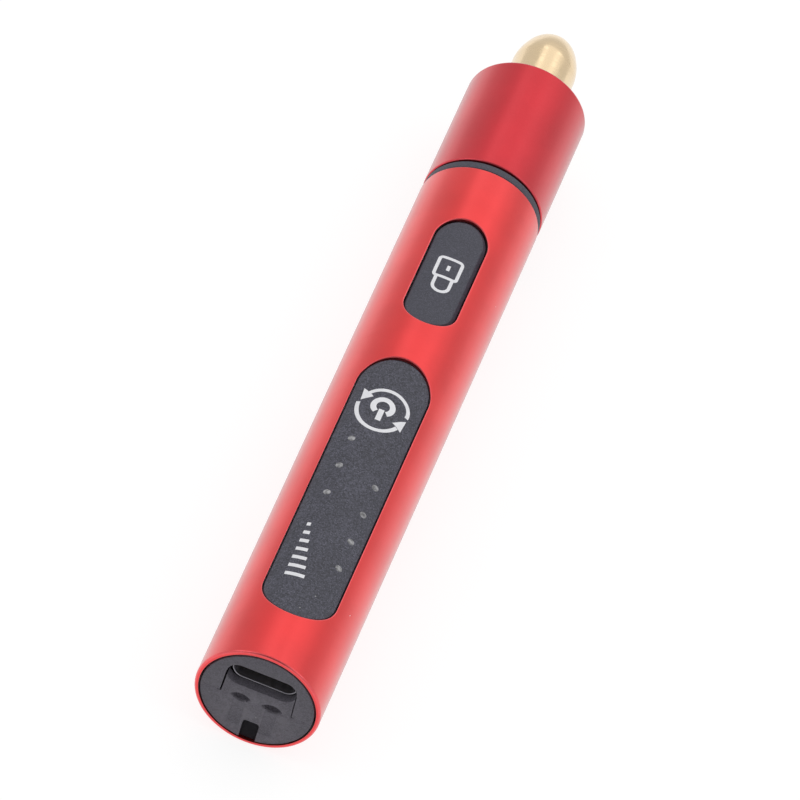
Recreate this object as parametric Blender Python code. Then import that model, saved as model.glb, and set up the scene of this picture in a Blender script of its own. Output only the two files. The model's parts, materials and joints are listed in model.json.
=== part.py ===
"""Rechargeable electric engraving pen, built as an assembly of separate pieces.

The pen lies on a table with its axis along +Y, nose forward, and its control panel facing +Z.
A station is a distance along the pen from the rear rim of the barrel. Every mesh is written in
the pen's own frame (x across, y = station, z above the axis), and the object's location puts
that frame in the world, with the middle of the pen's length over the world origin.
"""

import math

import bmesh
import bpy
from mathutils import Matrix, Vector
from mathutils.geometry import interpolate_bezier

# Barrel, groove and front sleeve
TUBE_DIAMETER = 0.0170
BARREL_WALL = 0.00057
BARREL_LENGTH = 0.0960
RIM_CHAMFER = 0.00020
GROOVE_EDGE_CHAMFER = 0.00012
GROOVE_WIDTH = 0.00135
SLEEVE_LENGTH = 0.02071
SLEEVE_WALL = 0.00090
SLEEVE_FRONT_WALL = 0.00140
SLEEVE_NOSE_ROUNDING = 0.00060

# Fits
SEAT_GAP = 0.00025
PRESS_GAP = 0.00020
RUNNING_GAP = 0.00015
CUT_OVERRUN = 0.0020

# Control panel and its window
PANEL_LENGTH = 0.0493
PANEL_WIDTH = 0.0101
PANEL_FROM_REAR = 0.0085
PANEL_RECESS = 0.00020
PANEL_LEDGE = 0.00055

# Spindle-lock key, its window, catches, pin and spring
KEY_WINDOW_LENGTH = 0.0204
KEY_WINDOW_WIDTH = 0.00745
KEY_WINDOW_BEHIND_GROOVE = 0.0102
KEY_RECESS = 0.00025
KEY_THICKNESS = 0.00160
KEY_TRAVEL = 0.00090
CATCH_LENGTH = 0.00070
CATCH_WIDTH = 0.0030
PIN_DIAMETER = 0.00060
PIN_BEHIND_KEY_FRONT = 0.00325
PIN_REST_GAP = 0.00030
SHELF_THICKNESS = 0.00050
SHELF_ABOVE_PIN_TIP = 0.00030
SHELF_LENGTH = 0.0050
SPRING_DIAMETER = 0.0022
SPRING_WIRE = 0.00025

# Chassis halves and the end face
CHASSIS_WALL = 0.00115
END_FACE_RECESS = 0.00010
END_WALL = 0.00140
SEAM_BELOW_AXIS = 0.00065
TONGUE_HALF_WIDTH = 0.0048
SLOT_LENGTH = 0.00965
SLOT_HEIGHT = 0.0032
SOCKET_ABOVE_AXIS = 0.00310
KEYWAY_WIDTH = 0.0021
KEYWAY_TOP_BELOW_AXIS = 0.0048
SCOOP_DIAMETER = 0.00265
SCOOP_SPACING = 0.00434
SCOOP_TOP_BELOW_AXIS = 0.00010
SCOOP_DEPTH = 0.00090
SCOOP_HEIGHT = 0.0056
RAIL_THICKNESS = 0.00070
RAIL_OVERLAP = 0.00070
RAIL_LENGTH = 0.0400
RIB_WIDTH = 0.0012
RIB_INSET = 0.0018

# Charging socket
SHELL_WIDTH = 0.00894
SHELL_HEIGHT = 0.00316
SHELL_WALL = 0.00030
SHELL_LENGTH = 0.00735
SOCKET_TONGUE_WIDTH = 0.00669
SOCKET_TONGUE_THICKNESS = 0.00070
SOCKET_TONGUE_SETBACK = 0.00090

# Circuit board and what stands on it
BOARD_WIDTH = 0.0078
BOARD_THICKNESS = 0.00080
BOARD_LENGTH = 0.0534
BOARD_BEHIND_END_WALL = 0.00090
INDICATOR_WIDTH = 0.00080
INDICATOR_LENGTH = 0.0016
INDICATOR_HEIGHT = 0.00060
INDICATOR_LEFT = 0.0023
INDICATOR_RIGHT = 0.0031
INDICATOR_PITCH = 0.00525
LEFT_ROW_START = 0.0307
RIGHT_ROW_START = 0.01915
POWER_MARK_STATION = 0.0477
SWITCH_SIZE = 0.0042
SWITCH_HEIGHT = 0.00080
PLUNGER_DIAMETER = 0.0020
PLUNGER_TRAVEL = 0.00025
CHIP_WIDTH = 0.0039
CHIP_LENGTH = 0.0049
CHIP_HEIGHT = 0.00110
CHARGE_CHIP_STATION = 0.0142
CONTROL_CHIP_STATION = 0.0250

# Battery cell and its tabs
CELL_DIAMETER = 0.0100
CELL_LENGTH = 0.0440
CELL_BUTTON_DIAMETER = 0.0044
CELL_BUTTON_HEIGHT = 0.00080
CELL_EDGE = 0.00040
TAB_THICKNESS = 0.00020
TAB_WIDTH = 0.0030

# Motor
MOTOR_DIAMETER = 0.0100
MOTOR_LENGTH = 0.0200
MOTOR_WALL = 0.00050
MOTOR_FRONT_BEHIND_PIN = 0.00370
MOTOR_BOSS_DIAMETER = 0.0040
MOTOR_CAP_LENGTH = 0.00120
MOTOR_SHAFT_DIAMETER = 0.0015
MAGNET_DIAMETER = 0.0056
MAGNET_LENGTH = 0.0120
COIL_WALL = 0.00070
COIL_GAP = 0.00040
TERMINAL_WIDTH = 0.00080
TERMINAL_LENGTH = 0.0014
TERMINAL_HEIGHT = 0.00120
TERMINAL_SPACING = 0.0050
LEAD_DIAMETER = 0.00080

# Spindle line
COUPLING_DIAMETER = 0.0038
COUPLING_LENGTH = 0.0070
LOCK_DISC_DIAMETER = 0.0070
LOCK_DISC_THICKNESS = 0.0026
NOTCH_WIDTH = 0.00090
BEARING_BORE = 0.0050
BEARING_OUTER = 0.0110
BEARING_WIDTH = 0.0040
BEARING_RING = 0.00090
BEARING_SHIELD = 0.00030
CARRIER_REAR_REACH = 0.0080
CARRIER_FRONT_REACH = 0.0158
CARRIER_SHOULDER = 0.0010
FLANGE_RECESS = 0.00025
FLANGE_SIDE_GAP = 0.00015
SEAL_SECTION = 0.00100
SEAL_BEHIND_CARRIER_FRONT = 0.0120
SPINDLE_TAIL_DIAMETER = 0.0026
SPINDLE_HEAD_DIAMETER = 0.0070
SPINDLE_HEAD_LENGTH = 0.0112
SPINDLE_BORE_DIAMETER = 0.0028
SPINDLE_BORE_DEPTH = 0.0090

# Collet and its nut
SHANK_DIAMETER = 0.00235
COLLET_TAIL_DIAMETER = 0.0040
COLLET_TAIL_LENGTH = 0.0085
COLLET_SHOULDER_DIAMETER = 0.0056
COLLET_SLIT = 0.00040
COLLET_SLIT_LENGTH = 0.0100
NUT_DIAMETER = 0.0091
NUT_REACH = 0.01384
NUT_DOME = 0.0055
NUT_FLAT_DIAMETER = 0.0036
NUT_HOLE_DIAMETER = 0.0030
NUT_LIP = 0.00100
NUT_CONE_LENGTH = 0.0040
NUT_MOUTH_BEHIND_TIP = 0.0185
NUT_OPENING_GAP = 0.00040

# Counts, angles and shares
TUBE_STEPS = 32
ROUND_STEPS = 24
SMALL_STEPS = 16
WIRE_STEPS = 8
DOME_RINGS = 7
SLOT_END_STEPS = 12
SPRING_TURNS = 3
SPRING_POINTS_PER_TURN = 10
LEAD_POINTS = 9
NOTCH_COUNT = 12
LEFT_ROW_COUNT = 3
RIGHT_ROW_COUNT = 4
COLLET_SLIT_COUNT = 2
DOME_POWER = 1.65
SHARP_ANGLE = math.radians(32)
NOSE_ROUNDING_STEPS = 3
MERGE_SHARE = 0.001
HALF = 0.5

# Worked-out radii
TUBE_RADIUS = TUBE_DIAMETER / 2
AXIS_HEIGHT = TUBE_RADIUS * math.cos(math.pi / TUBE_STEPS)
BARREL_INNER = TUBE_RADIUS - BARREL_WALL
SLEEVE_INNER = TUBE_RADIUS - SLEEVE_WALL
CHASSIS_OUTER = BARREL_INNER - SEAT_GAP
CHASSIS_INNER = CHASSIS_OUTER - CHASSIS_WALL
PANEL_OUTER = TUBE_RADIUS - PANEL_RECESS
PANEL_INNER = CHASSIS_OUTER + SEAT_GAP
KEY_OUTER = TUBE_RADIUS - KEY_RECESS
DISC_RADIUS = LOCK_DISC_DIAMETER / 2
NOTCH_DEPTH = KEY_TRAVEL - PIN_REST_GAP + RUNNING_GAP
CELL_RADIUS = CELL_DIAMETER / 2
MOTOR_RADIUS = MOTOR_DIAMETER / 2
NUT_RADIUS = NUT_DIAMETER / 2
JOURNAL_RADIUS = BEARING_BORE / 2 - PRESS_GAP
HEAD_RADIUS = SPINDLE_HEAD_DIAMETER / 2
SOCKET_RADIUS = COLLET_TAIL_DIAMETER / 2 + RUNNING_GAP

# Worked-out stations, from the rear rim forward
SLEEVE_REAR = BARREL_LENGTH + GROOVE_WIDTH
SLEEVE_FRONT = SLEEVE_REAR + SLEEVE_LENGTH
OVERALL_LENGTH = SLEEVE_FRONT + NUT_REACH
END_WALL_FRONT = END_FACE_RECESS + END_WALL
SHELL_REAR = END_WALL_FRONT + SEAT_GAP
SHELL_FRONT = SHELL_REAR + SHELL_LENGTH
CARRIER_REAR = BARREL_LENGTH - CARRIER_REAR_REACH
CARRIER_FRONT = SLEEVE_REAR + CARRIER_FRONT_REACH
CHASSIS_FRONT = CARRIER_REAR - SEAT_GAP
KEY_FRONT = BARREL_LENGTH - KEY_WINDOW_BEHIND_GROOVE
KEY_STATION = KEY_FRONT - KEY_WINDOW_LENGTH / 2
PIN_STATION = KEY_FRONT - PIN_BEHIND_KEY_FRONT
PANEL_STATION = PANEL_FROM_REAR + PANEL_LENGTH / 2
MOTOR_FRONT = PIN_STATION - MOTOR_FRONT_BEHIND_PIN
MOTOR_REAR = MOTOR_FRONT - MOTOR_LENGTH
BOARD_REAR = END_WALL_FRONT + BOARD_BEHIND_END_WALL
BOARD_FRONT = BOARD_REAR + BOARD_LENGTH
TAB_REAR = SHELL_FRONT + SEAT_GAP
CELL_REAR = TAB_REAR + TAB_THICKNESS + SEAT_GAP
CELL_FRONT = CELL_REAR + CELL_LENGTH
TAB_FRONT = CELL_FRONT + SEAT_GAP
TERMINAL_REAR = MOTOR_REAR - MOTOR_CAP_LENGTH - SEAT_GAP - TERMINAL_LENGTH
COUPLING_REAR = MOTOR_FRONT + MOTOR_WALL
COUPLING_FRONT = COUPLING_REAR + COUPLING_LENGTH
COUPLING_MIDDLE = COUPLING_REAR + COUPLING_LENGTH / 2
HEAD_REAR = CARRIER_FRONT + SEAT_GAP
HEAD_FRONT = HEAD_REAR + SPINDLE_HEAD_LENGTH
NUT_REAR = OVERALL_LENGTH - NUT_MOUTH_BEHIND_TIP
DOME_REAR = OVERALL_LENGTH - NUT_DOME
CONE_FRONT = OVERALL_LENGTH - NUT_LIP
CONE_REAR = CONE_FRONT - NUT_CONE_LENGTH
COLLET_FRONT = CONE_FRONT - SEAT_GAP
COLLET_SHOULDER = CONE_REAR
COLLET_REAR = COLLET_SHOULDER - COLLET_TAIL_LENGTH

# Worked-out heights above the axis
BOARD_BOTTOM = SOCKET_ABOVE_AXIS + SHELL_HEIGHT / 2 + SEAT_GAP
BOARD_TOP = BOARD_BOTTOM + BOARD_THICKNESS
RAIL_TOP = BOARD_BOTTOM - SEAT_GAP
RAIL_BOTTOM = RAIL_TOP - RAIL_THICKNESS
CELL_HEIGHT = CELL_RADIUS + SEAT_GAP - CHASSIS_INNER
SEAM_HEIGHT = -SEAM_BELOW_AXIS
KEY_BOTTOM = max(KEY_OUTER - KEY_THICKNESS, MOTOR_RADIUS + SEAT_GAP + KEY_TRAVEL)
CATCH_TOP = math.sqrt(BARREL_INNER ** 2 - (CATCH_WIDTH / 2) ** 2) - SEAT_GAP
PIN_TIP = DISC_RADIUS + PIN_REST_GAP
SHELF_BOTTOM = PIN_TIP + SHELF_ABOVE_PIN_TIP
SHELF_TOP = SHELF_BOTTOM + SHELF_THICKNESS

MERGE_DISTANCE = SHELL_WALL * MERGE_SHARE
AXIS_ORIGIN = Vector((0, -OVERALL_LENGTH / 2, AXIS_HEIGHT))


# Scene, materials and objects

def clear_scene():
    """Removes every object that the opened file starts with."""
    for thing in list(bpy.data.objects):
        bpy.data.objects.remove(thing)


def finish(name, colour, roughness, metallic):
    """A plain material with the piece's colour, roughness and metallic value."""
    material = bpy.data.materials.new(name)
    material.use_nodes = True
    shader = material.node_tree.nodes["Principled BSDF"]
    shader.inputs["Base Color"].default_value = (*colour, 1)
    shader.inputs["Roughness"].default_value = roughness
    shader.inputs["Metallic"].default_value = metallic
    return material


def place(name, shape, material):
    """Turns a bmesh in the pen's frame into a named object on the pen's axis."""
    bmesh.ops.remove_doubles(shape, verts=shape.verts, dist=MERGE_DISTANCE)
    bmesh.ops.recalc_face_normals(shape, faces=shape.faces)
    mesh = bpy.data.meshes.new(name)
    shape.to_mesh(mesh)
    shape.free()
    if material:
        mesh.materials.append(material)
    mesh.shade_smooth()
    mesh.set_sharp_from_angle(angle=SHARP_ANGLE)
    thing = bpy.data.objects.new(name, mesh)
    thing.location = AXIS_ORIGIN
    bpy.context.scene.collection.objects.link(thing)
    return thing


def move_origin(thing, point):
    """Moves an object's origin to a point of the pen's frame and leaves its mesh in place."""
    thing.data.transform(Matrix.Translation(-point))
    thing.location = AXIS_ORIGIN + point


def boolean(thing, name, shape, operation):
    """Cuts, joins or intersects an object with a hidden tool shape."""
    tool = place(f"{thing.name}_{name}", shape, None)
    tool.hide_render = True
    tool.display_type = "WIRE"
    step = thing.modifiers.new(name, "BOOLEAN")
    step.operation = operation
    step.solver = "EXACT"
    step.object = tool


def cut(thing, name, shape):
    """Takes a shape away from an object."""
    boolean(thing, name, shape, "DIFFERENCE")


def join(thing, name, shape):
    """Adds a shape to an object."""
    boolean(thing, name, shape, "UNION")


def keep(thing, name, shape):
    """Leaves only the part of an object that lies inside a shape."""
    boolean(thing, name, shape, "INTERSECT")


# Outlines and shapes

def turned(outline, steps, across=0, up=0):
    """A closed outline of (radius, station) pairs turned about a line along the pen.

    A radius of zero puts the point on that line. The first ring's corners stand half a step
    away from straight down, so that the turned piece has a flat facet underneath.
    """
    shape = bmesh.new()
    angles = [math.tau * (k + HALF) / steps for k in range(steps)]
    rings = []
    for radius, station in outline:
        if radius == 0:
            rings.append([shape.verts.new((across, station, up))] * steps)
        else:
            rings.append([
                shape.verts.new((across + radius * math.sin(a), station, up + radius * math.cos(a)))
                for a in angles
            ])
    for near, far in zip(rings, rings[1:] + rings[:1]):
        for k in range(steps):
            following = (k + 1) % steps
            corners = list(dict.fromkeys((near[k], near[following], far[following], far[k])))
            if len(corners) > 2:
                shape.faces.new(corners)
    return shape


def upright(outline, steps, station):
    """A closed outline of (radius, height) pairs turned about a line straight up at a station."""
    shape = turned(outline, steps)
    shape.transform(Matrix.Rotation(math.radians(90), 4, "X"))
    shape.transform(Matrix.Translation((0, station, 0)))
    return shape


def block(low, high):
    """A box between two opposite corners."""
    shape = bmesh.new()
    size = Vector(high) - Vector(low)
    middle = (Vector(high) + Vector(low)) / 2
    matrix = Matrix.Translation(middle) @ Matrix.Diagonal((*size, 1))
    bmesh.ops.create_cube(shape, size=1, matrix=matrix)
    return shape


def prism(outline, low, high):
    """A flat outline of (x, second) pairs drawn along the third direction, z, from low to high."""
    shape = bmesh.new()
    floor = [shape.verts.new((x, y, low)) for x, y in outline]
    roof = [shape.verts.new((x, y, high)) for x, y in outline]
    shape.faces.new(floor)
    shape.faces.new(roof)
    for k in range(len(outline)):
        following = (k + 1) % len(outline)
        shape.faces.new((floor[k], floor[following], roof[following], roof[k]))
    return shape


def along_pen(shape):
    """Turns a prism drawn along z so that it runs along the pen, with its second direction up."""
    shape.transform(Matrix(((1, 0, 0, 0), (0, 0, 1, 0), (0, 1, 0, 0), (0, 0, 0, 1))))
    return shape


def stadium(length, width, steps):
    """The outline of a slot with half-round ends, long in its second direction, about zero."""
    radius = width / 2
    reach = length / 2 - radius
    points = []
    for side, start in ((1, 0), (-1, math.pi)):
        for k in range(steps + 1):
            angle = start + math.pi * k / steps
            points.append((radius * math.cos(angle), side * reach + radius * math.sin(angle)))
    return points


def window(length, width, station, low, high):
    """A standing stadium-shaped block, long along the pen."""
    outline = [(x, station + y) for x, y in stadium(length, width, SLOT_END_STEPS)]
    return prism(outline, low, high)


def flat_slot(length, height, rear, front, up):
    """A lying stadium-shaped block that runs along the pen, long across it."""
    outline = [(y, up + x) for x, y in stadium(length, height, SLOT_END_STEPS)]
    return along_pen(prism(outline, rear, front))


def round_wire(name, points, diameter, material):
    """A closed round wire through a list of points of the pen's frame."""
    curve = bpy.data.curves.new(name, "CURVE")
    curve.dimensions = "3D"
    curve.bevel_depth = diameter / 2
    curve.bevel_resolution = 1
    curve.use_fill_caps = True
    spline = curve.splines.new("POLY")
    spline.points.add(len(points) - 1)
    for slot, point in zip(spline.points, points):
        slot.co = (*point, 1)
    curve.materials.append(material)
    thing = bpy.data.objects.new(name, curve)
    thing.location = AXIS_ORIGIN
    bpy.context.scene.collection.objects.link(thing)
    return thing


# Outer shells

def build_barrel(red):
    """The long tube, with a window for the panel and one for the lock key."""
    outline = [
        (BARREL_INNER, 0),
        (TUBE_RADIUS - RIM_CHAMFER, 0),
        (TUBE_RADIUS, RIM_CHAMFER),
        (TUBE_RADIUS, BARREL_LENGTH - GROOVE_EDGE_CHAMFER),
        (TUBE_RADIUS - GROOVE_EDGE_CHAMFER, BARREL_LENGTH),
        (BARREL_INNER, BARREL_LENGTH),
    ]
    barrel = place("barrel_tube", turned(outline, TUBE_STEPS), red)
    top = TUBE_RADIUS + CUT_OVERRUN
    cut(barrel, "panel_window", window(PANEL_LENGTH, PANEL_WIDTH, PANEL_STATION, 0, top))
    cut(barrel, "key_window", window(KEY_WINDOW_LENGTH, KEY_WINDOW_WIDTH, KEY_STATION, 0, top))


def build_sleeve(red):
    """The front sleeve, closed ahead except for the opening that the nut stands in."""
    opening = NUT_RADIUS + NUT_OPENING_GAP
    outline = [
        (SLEEVE_INNER, SLEEVE_REAR),
        (TUBE_RADIUS - GROOVE_EDGE_CHAMFER, SLEEVE_REAR),
        (TUBE_RADIUS, SLEEVE_REAR + GROOVE_EDGE_CHAMFER),
    ]
    for k in range(NOSE_ROUNDING_STEPS + 1):
        angle = math.pi / 2 * k / NOSE_ROUNDING_STEPS
        inset = SLEEVE_NOSE_ROUNDING * (1 - math.cos(angle))
        back = SLEEVE_NOSE_ROUNDING * (1 - math.sin(angle))
        outline.append((TUBE_RADIUS - inset, SLEEVE_FRONT - back))
    outline += [
        (opening, SLEEVE_FRONT),
        (opening, SLEEVE_FRONT - SLEEVE_FRONT_WALL),
        (SLEEVE_INNER, SLEEVE_FRONT - SLEEVE_FRONT_WALL),
    ]
    place("front_sleeve", turned(outline, TUBE_STEPS), red)


def build_carrier(plastic, rubber):
    """The bearing carrier, whose flange shows in the groove, and the seal on its front spigot."""
    rear_spigot = BARREL_INNER - SEAT_GAP
    front_spigot = SLEEVE_INNER - SEAT_GAP
    flange = TUBE_RADIUS - FLANGE_RECESS
    pocket = BEARING_OUTER / 2 + PRESS_GAP
    shoulder = BEARING_OUTER / 2 - CARRIER_SHOULDER
    pocket_depth = BEARING_WIDTH + PRESS_GAP
    seal_station = CARRIER_FRONT - SEAL_BEHIND_CARRIER_FRONT
    groove_half = SEAL_SECTION / 2 + PRESS_GAP
    seal_middle = SLEEVE_INNER - PRESS_GAP - SEAL_SECTION / 2
    groove_floor = seal_middle - SEAL_SECTION / 2 - PRESS_GAP
    outline = [
        (pocket, CARRIER_REAR),
        (rear_spigot, CARRIER_REAR),
        (rear_spigot, BARREL_LENGTH + FLANGE_SIDE_GAP),
        (flange, BARREL_LENGTH + FLANGE_SIDE_GAP),
        (flange, SLEEVE_REAR - FLANGE_SIDE_GAP),
        (front_spigot, SLEEVE_REAR - FLANGE_SIDE_GAP),
        (front_spigot, seal_station - groove_half),
        (groove_floor, seal_station - groove_half),
        (groove_floor, seal_station + groove_half),
        (front_spigot, seal_station + groove_half),
        (front_spigot, CARRIER_FRONT),
        (pocket, CARRIER_FRONT),
        (pocket, CARRIER_FRONT - pocket_depth),
        (shoulder, CARRIER_FRONT - pocket_depth),
        (shoulder, CARRIER_REAR + pocket_depth),
        (pocket, CARRIER_REAR + pocket_depth),
    ]
    place("bearing_carrier", turned(outline, TUBE_STEPS), plastic)
    ring = []
    for k in range(WIRE_STEPS):
        angle = math.tau * k / WIRE_STEPS
        radius = seal_middle + SEAL_SECTION / 2 * math.sin(angle)
        ring.append((radius, seal_station + SEAL_SECTION / 2 * math.cos(angle)))
    place("seal_ring", turned(ring, TUBE_STEPS), rubber)


def build_panel(plastic):
    """The control panel, a thin curved plate that lies on the upper chassis half."""
    front = PANEL_FROM_REAR + PANEL_LENGTH
    outline = [
        (PANEL_INNER, PANEL_FROM_REAR - CUT_OVERRUN),
        (PANEL_OUTER, PANEL_FROM_REAR - CUT_OVERRUN),
        (PANEL_OUTER, front + CUT_OVERRUN),
        (PANEL_INNER, front + CUT_OVERRUN),
    ]
    panel = place("control_panel", turned(outline, TUBE_STEPS), plastic)
    length = PANEL_LENGTH - 2 * SEAT_GAP
    width = PANEL_WIDTH - 2 * SEAT_GAP
    keep(panel, "outline", window(length, width, PANEL_STATION, 0, TUBE_RADIUS))


# Lock key

def build_lock_key(plastic):
    """The key with a catch at each end and the pin that drops into the lock disc."""
    length = KEY_WINDOW_LENGTH - 2 * SEAT_GAP
    width = KEY_WINDOW_WIDTH - 2 * SEAT_GAP
    rear = KEY_STATION - length / 2
    front = KEY_STATION + length / 2
    key = place("lock_key", window(length, width, KEY_STATION, KEY_BOTTOM, TUBE_RADIUS), plastic)
    barrel_curve = [
        (0, rear - CUT_OVERRUN),
        (KEY_OUTER, rear - CUT_OVERRUN),
        (KEY_OUTER, front + CUT_OVERRUN),
        (0, front + CUT_OVERRUN),
    ]
    keep(key, "barrel_curve", turned(barrel_curve, TUBE_STEPS))
    half_width = CATCH_WIDTH / 2
    inner = width / 2
    for name, near, far in (
        ("rear_catch", rear - CATCH_LENGTH, rear + inner),
        ("front_catch", front - inner, front + CATCH_LENGTH),
    ):
        join(key, name, block((-half_width, near, KEY_BOTTOM), (half_width, far, CATCH_TOP)))
    middle = (KEY_BOTTOM + CATCH_TOP) / 2
    radius = PIN_DIAMETER / 2
    pin = [(0, PIN_TIP), (radius, PIN_TIP), (radius, middle), (0, middle)]
    join(key, "pin", upright(pin, SMALL_STEPS, PIN_STATION))
    move_origin(key, Vector((0, PIN_STATION, 0)))


def build_lock_spring(steel):
    """The key's return spring, wound round the pin between the shelf and the key."""
    low = SHELF_TOP + SPRING_WIRE
    high = KEY_BOTTOM - SPRING_WIRE
    radius = (SPRING_DIAMETER - SPRING_WIRE) / 2
    count = SPRING_TURNS * SPRING_POINTS_PER_TURN
    points = []
    for k in range(count + 1):
        angle = math.tau * k / SPRING_POINTS_PER_TURN
        height = low + (high - low) * k / count
        points.append((radius * math.sin(angle), PIN_STATION + radius * math.cos(angle), height))
    round_wire("lock_spring", points, SPRING_WIRE, steel)
    print("gap between spring turns", (high - low) / SPRING_TURNS - SPRING_WIRE)


# Chassis halves

def chassis_shell(name, plastic):
    """The whole chassis tube with its end wall and the two ribs that hold the motor."""
    rib_inner = MOTOR_RADIUS + SEAT_GAP
    rear_rib = MOTOR_REAR + RIB_INSET
    front_rib = MOTOR_FRONT - RIB_INSET
    outline = [
        (0, END_FACE_RECESS),
        (CHASSIS_OUTER, END_FACE_RECESS),
        (CHASSIS_OUTER, CHASSIS_FRONT),
        (CHASSIS_INNER, CHASSIS_FRONT),
    ]
    for start, end in ((front_rib, front_rib - RIB_WIDTH), (rear_rib + RIB_WIDTH, rear_rib)):
        outline += [(CHASSIS_INNER, start), (rib_inner, start), (rib_inner, end), (CHASSIS_INNER, end)]
    outline += [(CHASSIS_INNER, END_WALL_FRONT), (0, END_WALL_FRONT)]
    return place(name, turned(outline, TUBE_STEPS), plastic)


def end_slot():
    """The opening in the end wall in front of the charging socket."""
    rear = END_FACE_RECESS - CUT_OVERRUN
    front = END_WALL_FRONT + SEAT_GAP
    return flat_slot(SLOT_LENGTH, SLOT_HEIGHT, rear, front, SOCKET_ABOVE_AXIS)


def half_space(sign):
    """A block over the upper (sign 1) or lower (sign -1) side of the seam, with half its gap."""
    side = TUBE_RADIUS + CUT_OVERRUN
    heights = sorted((sign * side, SEAM_HEIGHT + sign * SEAT_GAP / 2))
    return block((-side, 0, heights[0]), (side, BARREL_LENGTH, heights[1]))


def tongue_block(sign, low_z, rear, front):
    """The block of the end wall that rises from the seam to the slot, with half the gap."""
    half_width = TONGUE_HALF_WIDTH + sign * SEAT_GAP / 2
    return block((-half_width, rear, low_z), (half_width, front, SOCKET_ABOVE_AXIS))


def build_chassis_upper(plastic):
    """The upper half: board rails, spring shelf, and openings under the panel and the key."""
    upper = chassis_shell("chassis_upper", plastic)
    keep(upper, "half", half_space(1))
    rear = END_FACE_RECESS - CUT_OVERRUN
    low_z = SEAM_HEIGHT - CUT_OVERRUN
    cut(upper, "tongue_step", tongue_block(1, low_z, rear, END_WALL_FRONT + SEAT_GAP))
    rail_middle = (RAIL_TOP + RAIL_BOTTOM) / 2
    wall_middle = (CHASSIS_INNER + CHASSIS_OUTER) / 2
    rail_outer = math.sqrt(wall_middle ** 2 - rail_middle ** 2)
    rail_inner = BOARD_WIDTH / 2 - RAIL_OVERLAP
    rail_rear = CELL_REAR + TAB_WIDTH
    for side in (-1, 1):
        across = sorted((side * rail_inner, side * rail_outer))
        low = (across[0], rail_rear, RAIL_BOTTOM)
        high = (across[1], rail_rear + RAIL_LENGTH, RAIL_TOP)
        join(upper, f"rail_{side}", block(low, high))
    shelf_half = math.sqrt(wall_middle ** 2 - SHELF_TOP ** 2)
    shelf_rear = PIN_STATION - SHELF_LENGTH / 2
    low = (-shelf_half, shelf_rear, SHELF_BOTTOM)
    high = (shelf_half, shelf_rear + SHELF_LENGTH, SHELF_TOP)
    join(upper, "shelf", block(low, high))
    hole = PIN_DIAMETER / 2 + SEAT_GAP
    hole_outline = [
        (0, SHELF_BOTTOM - SHELF_THICKNESS), (hole, SHELF_BOTTOM - SHELF_THICKNESS),
        (hole, SHELF_TOP + SHELF_THICKNESS), (0, SHELF_TOP + SHELF_THICKNESS),
    ]
    cut(upper, "pin_hole", upright(hole_outline, SMALL_STEPS, PIN_STATION))
    above = TUBE_RADIUS + CUT_OVERRUN
    channel = BOARD_WIDTH / 2 + SEAT_GAP
    channel_top = BOARD_TOP + SEAT_GAP
    low = (-channel, END_WALL_FRONT + SEAT_GAP, RAIL_TOP + SEAT_GAP / 2)
    high = (channel, BOARD_FRONT + SEAT_GAP, channel_top)
    cut(upper, "board_channel", block(low, high))
    length = PANEL_LENGTH - 2 * SEAT_GAP - 2 * PANEL_LEDGE
    width = PANEL_WIDTH - 2 * SEAT_GAP - 2 * PANEL_LEDGE
    panel_low = (BOARD_TOP + BOARD_BOTTOM) / 2
    cut(upper, "panel_opening", window(length, width, PANEL_STATION, panel_low, above))
    width = KEY_WINDOW_WIDTH + SEAT_GAP
    end_bulge = width / 2 - math.sqrt((width / 2) ** 2 - (CATCH_WIDTH / 2) ** 2)
    length = KEY_WINDOW_LENGTH + 2 * (CATCH_LENGTH + end_bulge)
    cut(upper, "key_opening", window(length, width, KEY_STATION, SHELF_TOP, above))
    cut(upper, "socket_slot", end_slot())


def scoop(side):
    """A finger scoop in the end face, deep at its top and running out lower down."""
    radius = SCOOP_DIAMETER / 2
    slope = math.atan2(SCOOP_DEPTH, SCOOP_HEIGHT)
    outline = [
        (0, 0), (radius, 0), (radius, SCOOP_HEIGHT + CUT_OVERRUN), (0, SCOOP_HEIGHT + CUT_OVERRUN),
    ]
    shape = upright(outline, SMALL_STEPS, 0)
    shape.transform(Matrix.Rotation(math.pi, 4, "X"))
    shape.transform(Matrix.Rotation(-slope, 4, "X"))
    station = END_FACE_RECESS + SCOOP_DEPTH - radius
    across = side * SCOOP_SPACING / 2
    shape.transform(Matrix.Translation((across, station, -SCOOP_TOP_BELOW_AXIS)))
    return shape


def build_chassis_lower(plastic):
    """The lower half: its tongue under the socket, two finger scoops and the keyway."""
    lower = chassis_shell("chassis_lower", plastic)
    keep(lower, "half", half_space(-1))
    low_z = SEAM_HEIGHT - SEAT_GAP
    join(lower, "tongue", tongue_block(-1, low_z, END_FACE_RECESS, END_WALL_FRONT))
    cut(lower, "socket_slot", end_slot())
    for name, side in (("left_scoop", -1), ("right_scoop", 1)):
        cut(lower, name, scoop(side))
    half_width = KEYWAY_WIDTH / 2
    rear = END_FACE_RECESS - CUT_OVERRUN
    low = (-half_width, rear, -TUBE_RADIUS - CUT_OVERRUN)
    high = (half_width, END_WALL_FRONT + CUT_OVERRUN, -KEYWAY_TOP_BELOW_AXIS)
    cut(lower, "keyway", block(low, high))


# Charging socket, board and cell

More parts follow.
